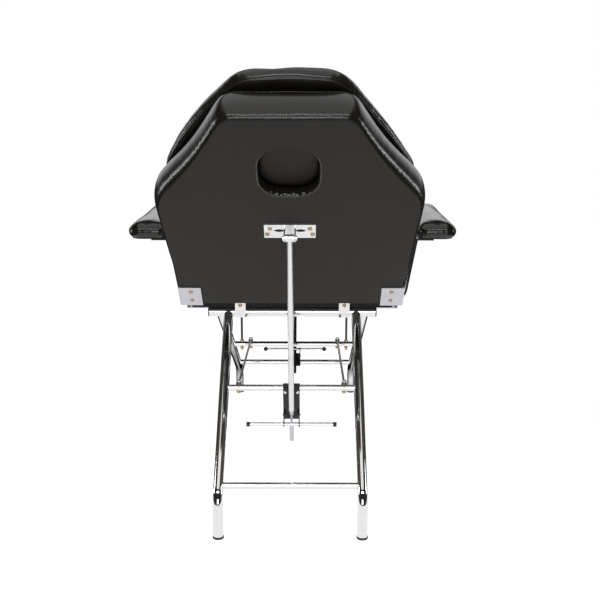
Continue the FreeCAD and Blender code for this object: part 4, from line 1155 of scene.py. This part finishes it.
def staple(setup):
    work = bmesh.new()
    half, wire = setup["width"] / 2, setup["wire"]
    bends = [(-half, -0.0004), (-half, setup["rise"]), (half, setup["rise"]), (half, -0.0004)]
    rings = []
    for x, z in bends:
        ring = []
        for i in range(6):
            a = 2 * math.pi * i / 6
            lean = math.copysign(1.0, x) * math.cos(a) * wire
            ring.append(work.verts.new((x + lean, math.sin(a) * wire, z + (math.cos(a) * wire if z > 0 else 0.0))))
        rings.append(ring)
    for a, b in zip(rings, rings[1:]):
        for i in range(6):
            j = (i + 1) % 6
            work.faces.new((a[i], a[j], b[j], b[i]))
    work.faces.new(rings[0])
    work.faces.new(rings[-1])
    bmesh.ops.recalc_face_normals(work, faces=work.faces)
    return linked("staple", meshFrom(work, "staple"))


def stapleSeats(board, blockers, setup):
    low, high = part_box(board)
    boxes = [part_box(name) for name in blockers]
    inset, step = setup["inset"], setup["step"]
    seats = []
    for axis in (0, 1):
        span = high[axis] - low[axis] - 2 * inset
        for edge in (low[1 - axis] + inset, high[1 - axis] - inset):
            for k in range(1, int(span / step)):
                along = low[axis] + inset + k * step
                point = (along, edge) if axis == 0 else (edge, along)
                blocked = any(
                    a.x - setup["clear"] < point[0] < b.x + setup["clear"]
                    and a.y - setup["clear"] < point[1] < b.y + setup["clear"] for a, b in boxes
                )
                if not blocked:
                    seats.append(((point[0], point[1], low.z), (0.0, 0.0, -1.0), axis))
    return seats


wire = staple(stapleSetup)
for board, body, blockers in (
    ("seat_board", "stand", ("leg_hinge_seat_leaves", "seat_hinge_plates", "ridge_straps")),
    ("leg_board", "leg_rest", ("leg_hinge_leaves",)),
):
    seats = stapleSeats(board, blockers, stapleSetup)
    for axis, word in ((0, "cross"), (1, "side")):
        chosen = [(place, aim) for place, aim, run in seats if run == axis]
        turned = wire.copy()
        turned.data = wire.data.copy()
        scene.collection.objects.link(turned)
        if axis == 1:
            turned.data.transform(Matrix.Rotation(math.pi / 2, 4, "Z"))
        if chosen:
            makeFixings(board + "_" + word + "_staples", chosen, turned, zinc, body, 0.0)
        bpy.data.objects.remove(turned)
bpy.data.objects.remove(wire)
print("staples set")


# Floor

def makeFloor(setup):
    left, right, front, back = setup["floorSides"]
    mesh = bpy.data.meshes.new("floor")
    mesh.from_pydata([(left, front, 0), (right, front, 0), (right, back, 0), (left, back, 0)], [], [(0, 1, 2, 3)])
    material, f = newFinish("pale_floor")
    y = f.add("ShaderNodeSeparateXYZ", {}, {0: f.place}, "Y")
    near = ((y - setup["shineEnd"]) * setup["shineFade"]).clamped()
    seen = f.add("ShaderNodeBsdfPrincipled", {}, {
        "Base Color": setup["floorTone"], "Roughness": 0.8, "Emission Color": white,
        "Emission Strength": setup["floorGlow"],
    })
    bright = f.add("ShaderNodeEmission", {}, {"Color": setup["shineTone"], "Strength": setup["shine"]})
    dark = f.add("ShaderNodeEmission", {}, {"Color": colour(0.0, 0.0, 0.0), "Strength": 0.0})
    mirrored = f.add("ShaderNodeMixShader", {}, {0: near, 1: dark, 2: bright})
    direct = f.add("ShaderNodeLightPath", output="Is Camera Ray")
    f.finishWith(f.add("ShaderNodeMixShader", {}, {0: direct, 1: mirrored, 2: seen}))
    mesh.materials.append(material)
    linked("floor", mesh)


makeFloor(studioSetup)
